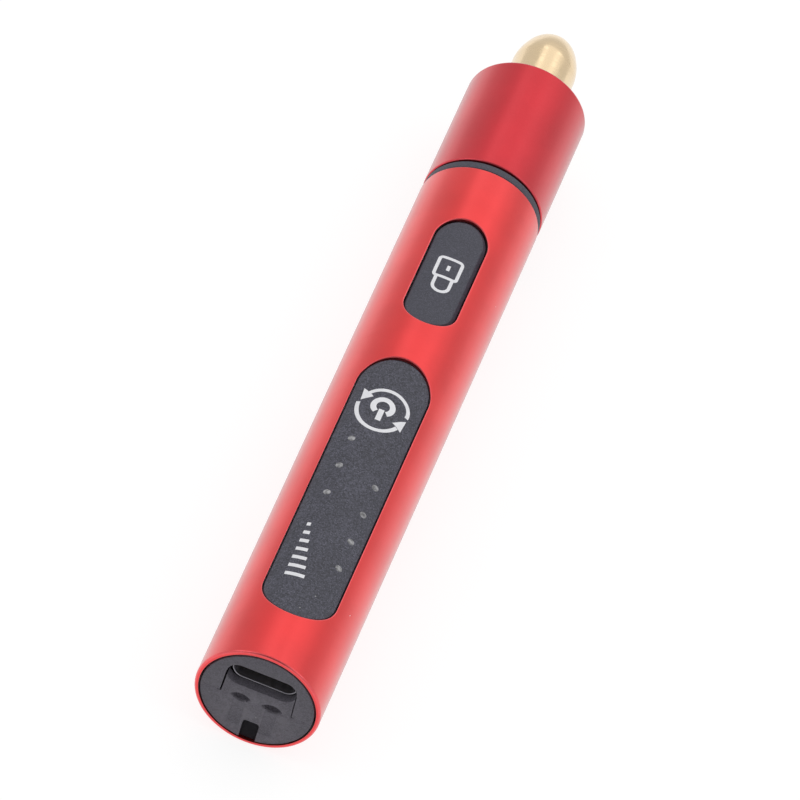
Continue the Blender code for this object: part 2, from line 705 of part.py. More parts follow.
def build_socket(steel, plastic):
    """The charging socket: a stamped shell and the contact tongue inside it."""
    outer = flat_slot(SHELL_WIDTH, SHELL_HEIGHT, SHELL_REAR, SHELL_FRONT, SOCKET_ABOVE_AXIS)
    shell = place("usb_shell", outer, steel)
    width = SHELL_WIDTH - 2 * SHELL_WALL
    height = SHELL_HEIGHT - 2 * SHELL_WALL
    back = SHELL_FRONT - SHELL_WALL
    rear = SHELL_REAR - CUT_OVERRUN
    cut(shell, "cavity", flat_slot(width, height, rear, back, SOCKET_ABOVE_AXIS))
    half_width = SOCKET_TONGUE_WIDTH / 2
    half_thickness = SOCKET_TONGUE_THICKNESS / 2
    low = (-half_width, SHELL_REAR + SOCKET_TONGUE_SETBACK, SOCKET_ABOVE_AXIS - half_thickness)
    high = (half_width, back - SEAT_GAP, SOCKET_ABOVE_AXIS + half_thickness)
    place("usb_tongue", block(low, high), plastic)


def standing_on_board(name, across, station, width, length, height, material):
    """A flat part that stands on the top of the circuit board."""
    bottom = BOARD_TOP + PRESS_GAP / 2
    low = (across - width / 2, station - length / 2, bottom)
    high = (across + width / 2, station + length / 2, bottom + height)
    return place(name, block(low, high), material)


def build_board(board_green, black, lamp):
    """The circuit board with its chips and the seven indicator lights."""
    half_width = BOARD_WIDTH / 2
    low = (-half_width, BOARD_REAR, BOARD_BOTTOM)
    high = (half_width, BOARD_FRONT, BOARD_TOP)
    place("main_board", block(low, high), board_green)
    for name, station in (
        ("charge_chip", CHARGE_CHIP_STATION),
        ("control_chip", CONTROL_CHIP_STATION),
    ):
        standing_on_board(name, 0, station, CHIP_WIDTH, CHIP_LENGTH, CHIP_HEIGHT, black)
    places = [
        (-INDICATOR_LEFT, LEFT_ROW_START + k * INDICATOR_PITCH) for k in range(LEFT_ROW_COUNT)
    ] + [
        (INDICATOR_RIGHT, RIGHT_ROW_START + k * INDICATOR_PITCH) for k in range(RIGHT_ROW_COUNT)
    ]
    for number, (across, station) in enumerate(places, 1):
        standing_on_board(
            f"indicator_{number}", across, station,
            INDICATOR_WIDTH, INDICATOR_LENGTH, INDICATOR_HEIGHT, lamp,
        )


def build_switch(black, plastic):
    """The power switch under the power mark, and the plunger that the panel's skin presses."""
    body = standing_on_board(
        "switch_body", 0, POWER_MARK_STATION, SWITCH_SIZE, SWITCH_SIZE, SWITCH_HEIGHT, black,
    )
    radius = PLUNGER_DIAMETER / 2
    floor = BOARD_TOP + SEAT_GAP
    hole = radius + RUNNING_GAP
    top = BOARD_TOP + SWITCH_HEIGHT + CUT_OVERRUN
    outline = [(0, floor), (hole, floor), (hole, top), (0, top)]
    cut(body, "plunger_hole", upright(outline, SMALL_STEPS, POWER_MARK_STATION))
    foot = floor + PLUNGER_TRAVEL + RUNNING_GAP
    head = PANEL_INNER * math.cos(math.pi / TUBE_STEPS) - SEAT_GAP
    outline = [(0, foot), (radius, foot), (radius, head), (0, head)]
    plunger = place("switch_plunger", upright(outline, SMALL_STEPS, POWER_MARK_STATION), plastic)
    move_origin(plunger, Vector((0, POWER_MARK_STATION, 0)))


def build_cell(wrap, nickel):
    """The battery cell on the floor of the chassis, with a welded tab at each end."""
    button = CELL_BUTTON_DIAMETER / 2
    shoulder = CELL_FRONT - CELL_BUTTON_HEIGHT
    outline = [
        (0, CELL_REAR),
        (CELL_RADIUS - CELL_EDGE, CELL_REAR),
        (CELL_RADIUS, CELL_REAR + CELL_EDGE),
        (CELL_RADIUS, shoulder - CELL_EDGE),
        (CELL_RADIUS - CELL_EDGE, shoulder),
        (button, shoulder),
        (button, CELL_FRONT),
        (0, CELL_FRONT),
    ]
    place("battery_cell", turned(outline, ROUND_STEPS, up=CELL_HEIGHT), wrap)
    half_width = TAB_WIDTH / 2
    foot = CELL_HEIGHT - half_width
    head = BOARD_BOTTOM - PRESS_GAP
    for name, rear in (("battery_tab_rear", TAB_REAR), ("battery_tab_front", TAB_FRONT)):
        low = (-half_width, rear, foot)
        high = (half_width, rear + TAB_THICKNESS, head)
        place(name, block(low, high), nickel)


# Motor

def build_motor(steel, black, magnet_grey, copper, nickel):
    """The motor: can, end cap, terminals, fixed magnet, and the coil cup on its shaft."""
    shaft = MOTOR_SHAFT_DIAMETER / 2
    inner = MOTOR_RADIUS - MOTOR_WALL
    bush = shaft + RUNNING_GAP
    boss = MOTOR_BOSS_DIAMETER / 2
    front_wall = MOTOR_FRONT - MOTOR_WALL
    can = [
        (inner, MOTOR_REAR),
        (MOTOR_RADIUS, MOTOR_REAR),
        (MOTOR_RADIUS, front_wall),
        (boss, front_wall),
        (boss, MOTOR_FRONT),
        (bush, MOTOR_FRONT),
        (bush, front_wall - MOTOR_WALL),
        (inner, front_wall - MOTOR_WALL),
    ]
    place("motor_can", turned(can, ROUND_STEPS), steel)
    cap_front = MOTOR_REAR - SEAT_GAP
    cap_rear = cap_front - MOTOR_CAP_LENGTH + SEAT_GAP
    cap = [(0, cap_rear), (MOTOR_RADIUS, cap_rear), (MOTOR_RADIUS, cap_front), (0, cap_front)]
    place("motor_end_cap", turned(cap, ROUND_STEPS), black)
    magnet_radius = MAGNET_DIAMETER / 2
    magnet_rear = MOTOR_REAR + MOTOR_CAP_LENGTH
    magnet_front = magnet_rear + MAGNET_LENGTH
    magnet = [
        (bush, magnet_rear), (magnet_radius, magnet_rear),
        (magnet_radius, magnet_front), (bush, magnet_front),
    ]
    place("motor_magnet", turned(magnet, SMALL_STEPS), magnet_grey)
    coil_inner = magnet_radius + COIL_GAP
    coil_outer = coil_inner + COIL_WALL
    coil_floor = magnet_front + COIL_GAP
    hub = shaft + PRESS_GAP
    coil = [
        (coil_inner, magnet_rear),
        (coil_outer, magnet_rear),
        (coil_outer, coil_floor + COIL_WALL),
        (hub, coil_floor + COIL_WALL),
        (hub, coil_floor),
        (coil_inner, coil_floor),
    ]
    place("motor_coil", turned(coil, SMALL_STEPS), copper)
    shaft_rear = MOTOR_REAR + SEAT_GAP
    shaft_front = COUPLING_MIDDLE - SEAT_GAP
    rod = [(0, shaft_rear), (shaft, shaft_rear), (shaft, shaft_front), (0, shaft_front)]
    place("motor_shaft", turned(rod, SMALL_STEPS), steel)
    half_width = TERMINAL_WIDTH / 2
    half_height = TERMINAL_HEIGHT / 2
    for name, side in (("left", -1), ("right", 1)):
        across = side * TERMINAL_SPACING / 2
        low = (across - half_width, TERMINAL_REAR, -half_height)
        high = (across + half_width, TERMINAL_REAR + TERMINAL_LENGTH, half_height)
        place(f"motor_terminal_{name}", block(low, high), nickel)


def build_leads(red_wire, black_wire):
    """The two short leads from the underside of the board down to the motor's terminals.

    Each leaves the terminal straight up and meets the board straight up, on one smooth curve.
    """
    foot = TERMINAL_HEIGHT / 2 + SEAT_GAP
    foot_station = TERMINAL_REAR + TERMINAL_LENGTH / 2
    head = BOARD_BOTTOM - SEAT_GAP
    head_station = min(foot_station, BOARD_FRONT - LEAD_DIAMETER)
    middle = (foot + head) / 2
    for name, side, wire in (("left", -1, red_wire), ("right", 1, black_wire)):
        across = side * TERMINAL_SPACING / 2
        corners = (
            Vector((across, foot_station, foot)),
            Vector((across, foot_station, middle)),
            Vector((across, head_station, middle)),
            Vector((across, head_station, head)),
        )
        points = interpolate_bezier(*corners, LEAD_POINTS)
        round_wire(f"motor_lead_{name}", points, LEAD_DIAMETER, wire)


# Spindle line

def build_coupling(brass, steel):
    """The coupling sleeve, and the notched disc on it that the key's pin drops into."""
    outer = COUPLING_DIAMETER / 2
    shaft_bore = MOTOR_SHAFT_DIAMETER / 2 + PRESS_GAP
    tail_bore = SPINDLE_TAIL_DIAMETER / 2 + PRESS_GAP
    sleeve = [
        (shaft_bore, COUPLING_REAR),
        (outer, COUPLING_REAR),
        (outer, COUPLING_FRONT),
        (tail_bore, COUPLING_FRONT),
        (tail_bore, COUPLING_MIDDLE),
        (shaft_bore, COUPLING_MIDDLE),
    ]
    place("shaft_coupling", turned(sleeve, SMALL_STEPS), brass)
    bore = outer + PRESS_GAP
    rear = PIN_STATION - LOCK_DISC_THICKNESS / 2
    front = PIN_STATION + LOCK_DISC_THICKNESS / 2
    rim = [(bore, rear), (DISC_RADIUS, rear), (DISC_RADIUS, front), (bore, front)]
    disc = place("lock_disc", turned(rim, ROUND_STEPS), steel)
    notches = bmesh.new()
    floor = DISC_RADIUS - NOTCH_DEPTH
    half_width = NOTCH_WIDTH / 2
    for k in range(NOTCH_COUNT):
        low = (-half_width, rear - CUT_OVERRUN, floor)
        high = (half_width, front + CUT_OVERRUN, DISC_RADIUS + NOTCH_WIDTH)
        notch = block(low, high)
        notch.transform(Matrix.Rotation(math.tau * k / NOTCH_COUNT, 4, "Y"))
        mesh = bpy.data.meshes.new("notch")
        notch.to_mesh(mesh)
        notch.free()
        notches.from_mesh(mesh)
        bpy.data.meshes.remove(mesh)
    cut(disc, "notches", notches)


def build_spindle(steel):
    """The spindle: tail, journals for two bearings, and a bored head for collet and nut."""
    tail = SPINDLE_TAIL_DIAMETER / 2
    tail_rear = COUPLING_MIDDLE + SEAT_GAP
    mouth = COLLET_SHOULDER_DIAMETER / 2 + RUNNING_GAP
    bore = SPINDLE_BORE_DIAMETER / 2
    socket_floor = COLLET_REAR - SEAT_GAP
    bore_floor = socket_floor - SPINDLE_BORE_DEPTH
    cone = mouth - SOCKET_RADIUS
    outline = [
        (0, tail_rear),
        (tail, tail_rear),
        (tail, CARRIER_REAR),
        (JOURNAL_RADIUS, CARRIER_REAR),
        (JOURNAL_RADIUS, HEAD_REAR),
        (HEAD_RADIUS, HEAD_REAR),
        (HEAD_RADIUS, HEAD_FRONT),
        (mouth, HEAD_FRONT),
        (SOCKET_RADIUS, HEAD_FRONT - cone),
        (SOCKET_RADIUS, socket_floor),
        (bore, socket_floor),
        (bore, bore_floor),
        (0, bore_floor - bore),
    ]
    place("spindle", turned(outline, ROUND_STEPS), steel)


def build_bearing(name, rear, steel, bright):
    """One shielded ball bearing: an outer ring with both shields, and an inner ring."""
    outer = BEARING_OUTER / 2
    front = rear + BEARING_WIDTH
    inner_top = BEARING_BORE / 2 + BEARING_RING
    shield_edge = inner_top + SEAT_GAP
    race = outer - BEARING_RING
    outline = [
        (outer, rear),
        (outer, front),
        (shield_edge, front),
        (shield_edge, front - BEARING_SHIELD),
        (race, front - BEARING_SHIELD),
        (race, rear + BEARING_SHIELD),
        (shield_edge, rear + BEARING_SHIELD),
        (shield_edge, rear),
    ]
    place(f"{name}_bearing_outer", turned(outline, ROUND_STEPS), steel)
    bore = BEARING_BORE / 2
    ring = [(bore, rear), (inner_top, rear), (inner_top, front), (bore, front)]
    place(f"{name}_bearing_inner", turned(ring, ROUND_STEPS), bright)


def build_bearings(steel, bright):
    """Both bearings and the spacer tube between their inner rings."""
    build_bearing("rear", CARRIER_REAR, steel, bright)
    build_bearing("front", CARRIER_FRONT - BEARING_WIDTH, steel, bright)
    inner = BEARING_BORE / 2
    outer = inner + BEARING_RING
    rear = CARRIER_REAR + BEARING_WIDTH + SEAT_GAP
    front = CARRIER_FRONT - BEARING_WIDTH - SEAT_GAP
    outline = [(inner, rear), (outer, rear), (outer, front), (inner, front)]
    place("bearing_spacer", turned(outline, ROUND_STEPS), bright)


def build_collet(steel):
    """The collet: a bored tail and a tapered head, slit crosswise from the front."""
    bore = SHANK_DIAMETER / 2
    tail = COLLET_TAIL_DIAMETER / 2
    shoulder = COLLET_SHOULDER_DIAMETER / 2
    nose = NUT_HOLE_DIAMETER / 2 + SEAT_GAP
    outline = [
        (bore, COLLET_REAR),
        (tail, COLLET_REAR),
        (tail, COLLET_SHOULDER - (shoulder - tail)),
        (shoulder, COLLET_SHOULDER),
        (nose, COLLET_FRONT),
        (bore, COLLET_FRONT),
    ]
    collet = place("collet", turned(outline, ROUND_STEPS), steel)
    half_slit = COLLET_SLIT / 2
    side = shoulder + CUT_OVERRUN
    low = (-side, COLLET_FRONT - COLLET_SLIT_LENGTH, -half_slit)
    high = (side, COLLET_FRONT + CUT_OVERRUN, half_slit)
    for k in range(COLLET_SLIT_COUNT):
        slit = block(low, high)
        slit.transform(Matrix.Rotation(math.pi * k / COLLET_SLIT_COUNT, 4, "Y"))
        cut(collet, f"slit_{k}", slit)


def build_nut(brass):
    """The collet nut: a plain cylinder and a bluntly pointed dome with a hole for the bit."""
    flat = NUT_FLAT_DIAMETER / 2
    hole = NUT_HOLE_DIAMETER / 2
    bore = HEAD_RADIUS + RUNNING_GAP
    cone_front = NUT_HOLE_DIAMETER / 2 + 2 * SEAT_GAP
    cone_rear = COLLET_SHOULDER_DIAMETER / 2 + SEAT_GAP
    outline = [(bore, NUT_REAR), (NUT_RADIUS, NUT_REAR)]
    for k in range(DOME_RINGS):
        share = math.sin(math.pi / 2 * k / DOME_RINGS)
        radius = flat + (NUT_RADIUS - flat) * (1 - share ** DOME_POWER) ** (1 / DOME_POWER)
        outline.append((radius, DOME_REAR + NUT_DOME * share))
    outline += [
        (flat, OVERALL_LENGTH),
        (hole, OVERALL_LENGTH),
        (hole, CONE_FRONT),
        (cone_front, CONE_FRONT),
        (cone_rear, CONE_REAR),
        (bore, CONE_REAR - (bore - cone_rear)),
    ]
    place("collet_nut", turned(outline, TUBE_STEPS), brass)


def main():
    """Builds every piece of the pen."""
    clear_scene()
    red = finish("red_anodised", (0.62, 0.035, 0.045), 0.32, 1.0)
    charcoal = finish("charcoal_plastic", (0.085, 0.085, 0.095), 0.6, 0.0)
    black = finish("black_plastic", (0.02, 0.02, 0.022), 0.5, 0.0)
    rubber = finish("rubber", (0.015, 0.015, 0.015), 0.8, 0.0)
    steel = finish("steel", (0.55, 0.56, 0.58), 0.3, 1.0)
    bright = finish("bright_steel", (0.75, 0.76, 0.78), 0.2, 1.0)
    brass = finish("brass", (0.78, 0.58, 0.32), 0.25, 1.0)
    nickel = finish("nickel", (0.66, 0.64, 0.6), 0.3, 1.0)
    copper = finish("copper", (0.72, 0.32, 0.16), 0.35, 1.0)
    magnet_grey = finish("magnet", (0.25, 0.25, 0.27), 0.4, 1.0)
    board_green = finish("board", (0.02, 0.16, 0.06), 0.5, 0.0)
    lamp = finish("lamp", (0.85, 0.85, 0.8), 0.3, 0.0)
    wrap = finish("cell_wrap", (0.05, 0.16, 0.45), 0.4, 0.0)
    red_wire = finish("red_wire", (0.6, 0.03, 0.03), 0.5, 0.0)
    black_wire = finish("black_wire", (0.02, 0.02, 0.02), 0.5, 0.0)

    build_barrel(red)
    build_sleeve(red)
    build_carrier(charcoal, rubber)
    build_panel(charcoal)
    build_lock_key(charcoal)
    build_lock_spring(steel)
    build_chassis_upper(charcoal)
    build_chassis_lower(charcoal)
    build_socket(steel, black)
    build_board(board_green, black, lamp)
    build_switch(black, charcoal)
    build_cell(wrap, nickel)
    build_motor(steel, black, magnet_grey, copper, nickel)
    build_leads(red_wire, black_wire)
    build_coupling(brass, steel)
    build_spindle(steel)
    build_bearings(steel, bright)
    build_collet(steel)
    build_nut(brass)


main()
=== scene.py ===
"""Looks of a rechargeable electric engraving pen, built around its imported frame.

The pen lies along +Y with its control panel facing +Z. A station is a distance along the pen from
the rear rim of the barrel. Shapes are gathered in the pen's own frame (x across, y = station,
z above the axis) and are put in the world when their object is made. Lengths are in metres.
"""

import json
import logging
import math
from dataclasses import dataclass, field, replace
from enum import Enum
from typing import Callable, Iterable, Sequence

import bmesh
import bpy
from mathutils import Matrix, Vector


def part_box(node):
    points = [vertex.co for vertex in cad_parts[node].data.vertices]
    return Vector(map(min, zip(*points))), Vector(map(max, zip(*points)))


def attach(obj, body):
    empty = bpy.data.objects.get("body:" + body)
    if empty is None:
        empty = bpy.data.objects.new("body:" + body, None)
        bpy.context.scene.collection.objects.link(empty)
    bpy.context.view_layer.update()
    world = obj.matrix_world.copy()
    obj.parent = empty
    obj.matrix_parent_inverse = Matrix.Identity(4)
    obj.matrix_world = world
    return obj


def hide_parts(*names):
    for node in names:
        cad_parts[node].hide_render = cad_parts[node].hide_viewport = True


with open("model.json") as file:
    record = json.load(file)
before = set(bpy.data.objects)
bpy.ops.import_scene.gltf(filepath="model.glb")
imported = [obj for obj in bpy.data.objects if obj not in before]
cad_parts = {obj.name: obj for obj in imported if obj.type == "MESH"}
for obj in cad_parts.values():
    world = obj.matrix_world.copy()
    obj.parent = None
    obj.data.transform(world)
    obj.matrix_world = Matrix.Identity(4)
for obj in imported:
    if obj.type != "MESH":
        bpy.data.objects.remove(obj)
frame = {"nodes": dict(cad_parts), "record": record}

LOG = logging.getLogger("engraving_pen")
MM = 0.001
CAD_STEPS = 32
ROUND_STEPS = 160
SMALL_STEPS = 64
HALF_STEPS = 120
END_STEPS = 20
CORNER_STEPS = 6
ARC_STEPS = 4
RIBBON_STEPS = 8
QUARTER_TURNS = tuple(math.pi / 2 * k / ARC_STEPS for k in range(ARC_STEPS + 1))
WELD = 0.002 * MM
PATH_STEP = 0.25 * MM
SHARP = math.radians(40)
EDGE_FROM = math.radians(10)
EDGE_FULL = math.radians(24)
EDGE_ATTRIBUTE = "edge"

Colour = tuple[float, float, float]
Point2 = tuple[float, float]
Row = list[Vector]
Edges = list[tuple[Point2, Point2]]
Box = tuple[Vector, Vector]
Thing = bpy.types.Object
Socket = bpy.types.NodeSocket
Outputs = bpy.types.bpy_prop_collection
Inputs = dict[str | int, object]
Layer = tuple[Socket, float, Sequence[float]]


# The pen's frame

@dataclass(frozen=True)
class PenFrame:
    """Where the pen's axis lies in the world, and the radius of its tube."""

    axis_height: float
    rear: float
    radius: float

    @classmethod
    def read(cls) -> "PenFrame":
        """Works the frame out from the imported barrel, whose box touches its flat facets.

        Returns:
            The pen's frame.
        """
        low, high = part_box("barrel_tube")
        half = (high.x - low.x) / 2
        return cls((low.z + high.z) / 2, low.y, half / math.cos(math.pi / CAD_STEPS))

    @property
    def matrix(self) -> Matrix:
        """The pen's frame in the world."""
        return Matrix.Translation((0, self.rear, self.axis_height))

    def box(self, node: str) -> Box:
        """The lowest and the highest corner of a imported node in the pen's frame."""
        inverse = self.matrix.inverted()
        return tuple(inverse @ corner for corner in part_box(node))


# Outlines

def rounded(corners: Sequence[tuple[float, float, float]], steps: int = ARC_STEPS) -> list[Point2]:
    """Rounds the corners of a closed outline.

    Args:
        corners: First and second coordinate of each corner, and the radius of its rounding.
        steps: Straight pieces in each rounding.

    Returns:
        The points of the rounded outline.
    """
    points: list[Point2] = []
    count = len(corners)
    for k, (u, v, radius) in enumerate(corners):
        here = Vector((u, v))
        if radius <= 0:
            points.append((u, v))
            continue
        before = (Vector(corners[k - 1][:2]) - here).normalized()
        after = (Vector(corners[(k + 1) % count][:2]) - here).normalized()
        half = before.angle(after) / 2
        reach = radius / math.tan(half)
        middle = here + (before + after).normalized() * radius / math.sin(half)
        start, end = here + before * reach - middle, here + after * reach - middle
        turn = start.angle_signed(end)
        for step in range(steps + 1):
            arm = start.copy()
            arm.rotate(Matrix.Rotation(-turn * step / steps, 2))
            points.append(tuple(middle + arm))
    return points


def spread(start: Sequence[float], end: Sequence[float], count: int) -> list[tuple[float, ...]]:
    """Points at even steps from one point towards another, without the last."""
    pairs = list(zip(start, end))
    return [tuple(a + (b - a) * k / count for a, b in pairs) for k in range(count)]


def arc(middle: Point2, radius: float, start: float, end: float, steps: int) -> list[Point2]:
    """Points on an arc round a middle, between two angles in degrees counter-clockwise."""
    angles = [math.radians(start + (end - start) * k / steps) for k in range(steps + 1)]
    return [(middle[0] + radius * math.cos(a), middle[1] + radius * math.sin(a)) for a in angles]


def circle(middle: Point2, radius: float, steps: int) -> list[Point2]:
    """The points of a closed circle."""
    return arc(middle, radius, 0, 360, steps)[:-1]


def paced(points: Sequence[Point2], closed: bool = False) -> list[Point2]:
    """Splits the straight runs of a path into short steps.

    Args:
        points: The path's points.
        closed: Whether the last point joins the first.

    Returns:
        The path with points between them, none further apart than the path step.
    """
    following = list(points[1:]) + ([points[0]] if closed else [])
    path: list[Point2] = []
    for start, end in zip(points, following):
        path += spread(start, end, max(math.ceil(math.dist(start, end) / PATH_STEP), 1))
    return path if closed else [*path, points[-1]]


def strip(path: Sequence[Point2], width: float, closed: bool = False) -> Edges:
    """The two edges of a strip of even width along a path.

    Args:
        path: The path's points, close to each other.
        width: The strip's width.
        closed: Whether the path's last point joins its first.

    Returns:
        The left and the right edge point at each point of the path.
    """
    edges = []
    last = len(path) - 1
    for k, point in enumerate(path):
        before = path[k - 1] if k > 0 or closed else point
        after = path[(k + 1) % len(path)] if k < last or closed else point
        arm = (Vector(after) - Vector(before)).normalized().orthogonal() * width / 2
        edges.append((tuple(Vector(point) + arm), tuple(Vector(point) - arm)))
    return edges


def lifted(points: Iterable[Point2], radius: float) -> Row:
    """Puts flat points of (across, station) straight up onto a cylinder round the pen's axis."""
    return [Vector((x, y, math.sqrt(max(radius ** 2 - x ** 2, 0)))) for x, y in points]


def level(points: Iterable[Point2], height: float) -> Row:
    """Puts flat points of (across, station) at one height."""
    return [Vector((x, y, height)) for x, y in points]


def upended(points: Iterable[Point2], station: float, height: float) -> Row:
    """Stands flat points up square to the pen, with their long axis across it."""
    return [Vector((y, station, height + x)) for x, y in points]


def wrapped(points: Iterable[Point2], radius: float) -> Row:
    """Puts points of (angle from straight up, station) onto a cylinder round the pen's axis."""
    return [Vector((radius * math.sin(a), y, radius * math.cos(a))) for a, y in points]


@dataclass(frozen=True)
class Stadium:
    """A slot outline with round ends, long along its second axis.

    The two powers shape its front and its rear end: 1 is half round, and less is squarer.
    """

    length: float
    width: float
    middle: Vector
    straight_steps: int
    side_steps: int = 8
    end_steps: int = 36
    powers: Point2 = (1.0, 1.0)

    @classmethod
    def over(cls, box: Box, straight_steps: int, grow: float = 0.0) -> "Stadium":
        """The outline that fills a box as seen from above.

        Args:
            box: The box's lowest and highest corner.
            straight_steps: Straight pieces along each long side.
            grow: How far the outline stands outside the box all round.

        Returns:
            The outline.
        """
        low, high = box
        middle = Vector((0, (low.y + high.y) / 2))
        return cls(high.y - low.y + 2 * grow, high.x - low.x + 2 * grow, middle, straight_steps)

    @property
    def reach(self) -> float:
        """How far the middle of each round end lies from the outline's middle."""
        return (self.length - self.width) / 2

    def loop(self, grow: float = 0.0) -> list[Point2]:
        """The outline's points, counted from the right side's rear end.

        Args:
            grow: How far outside the outline the loop runs; less than zero is inside it.

        Returns:
            One loop of points, right side first, then front end, left side and rear end.
        """
        radius = self.width / 2 + grow
        turns = 2 * self.side_steps + self.end_steps
        points: list[Point2] = []
        for side, power in zip((1, -1), self.powers):
            for k in range(self.straight_steps):
                along = -self.reach + 2 * self.reach * k / self.straight_steps
                points.append((side * radius, side * along))
            for k in range(turns):
                angle = math.pi * k / turns
                across = math.copysign(abs(math.cos(angle)) ** power, math.cos(angle))
                along = self.reach + radius * math.sin(angle) ** power
                points.append((side * radius * across, side * along))
        return [(self.middle.x + u, self.middle.y + v) for u, v in points]

    def frame_loop(self, half: float, rear: float, front: float) -> list[Point2]:
        """A rectangle round the outline with a point for each point of the loop.

        Args:
            half: Half the rectangle's width, in any unit of the first coordinate.
            rear: Second coordinate of the rectangle's rear side.
            front: Second coordinate of its front side.

        Returns:
            One loop of points in the order of the outline's loop.
        """
        points: list[Point2] = []
        for side, far in ((1, front), (-1, rear)):
            start, end = (self.middle.y + turn * side * self.reach for turn in (-1, 1))
            points += spread((side * half, start), (side * half, end), self.straight_steps)
            points += spread((side * half, end), (side * half, far), self.side_steps)
            points += spread((side * half, far), (-side * half, far), self.end_steps)
            points += spread((-side * half, far), (-side * half, end), self.side_steps)
        return points

    def side_stations(self, rear: float, front: float) -> list[float]:
        """The stations of the rectangle's points along one long side.

        Args:
            rear: Station of the rectangle's rear side.
            front: Station of its front side.

        Returns:
            The stations from rear to front.
        """
        ends = (rear, self.middle.y - self.reach, self.middle.y + self.reach, front)
        steps = (self.side_steps, self.straight_steps, self.side_steps)
        stations = [rear]
        for start, end, count in zip(ends, ends[1:], steps):
            stations += [start + (end - start) * (k + 1) / count for k in range(count)]
        return stations

    def crest(self, grow: float, top: float, edge: float) -> list[Row]:
        """Rows that round off the upper edge of a piece of this outline.

        Args:
            grow: How far outside the outline the piece's side stands.
            top: Radius of the piece's face about the pen's axis.
            edge: Radius of the rounding.

        Returns:
            The rows from the side up to the face.
        """
        return [
            lifted(self.loop(grow - edge * (1 - math.cos(t))), top - edge * (1 - math.sin(t)))
            for t in QUARTER_TURNS
        ]


@dataclass(frozen=True)
class Skin:
    """A cylinder round the pen's axis whose top may have one shallow round dish."""

    radius: float
    middle: Point2 = (0.0, 0.0)
    dish_radius: float = 1.0
    dish_slope: float = 0.3
    dish_depth: float = 0.0

    def lift(self, points: Iterable[Point2], rise: float = 0.0) -> Row:
        """Puts flat points straight up onto the skin.

        Args:
            points: The points, as (across, station).
            rise: How far above the skin they come to lie.

        Returns:
            The lifted points.
        """
        row = []
        for x, y in points:
            inside = 1 - math.dist((x, y), self.middle) / self.dish_radius
            share = min(max(inside / self.dish_slope, 0), 1)
            radius = self.radius + rise - self.dish_depth * share * share * (3 - 2 * share)
            row.append(Vector((x, y, math.sqrt(radius ** 2 - x ** 2))))
        return row


@dataclass(frozen=True)
class Ink:
    """How far printed ink stands above its skin, and how far it reaches down from there."""

    rise: float = 0.012 * MM
    depth: float = 0.05 * MM

    @property
    def over(self) -> "Ink":
        """A second print that lies over the first where the two cross."""
        return replace(self, rise=1.3 * self.rise)


# Shapes

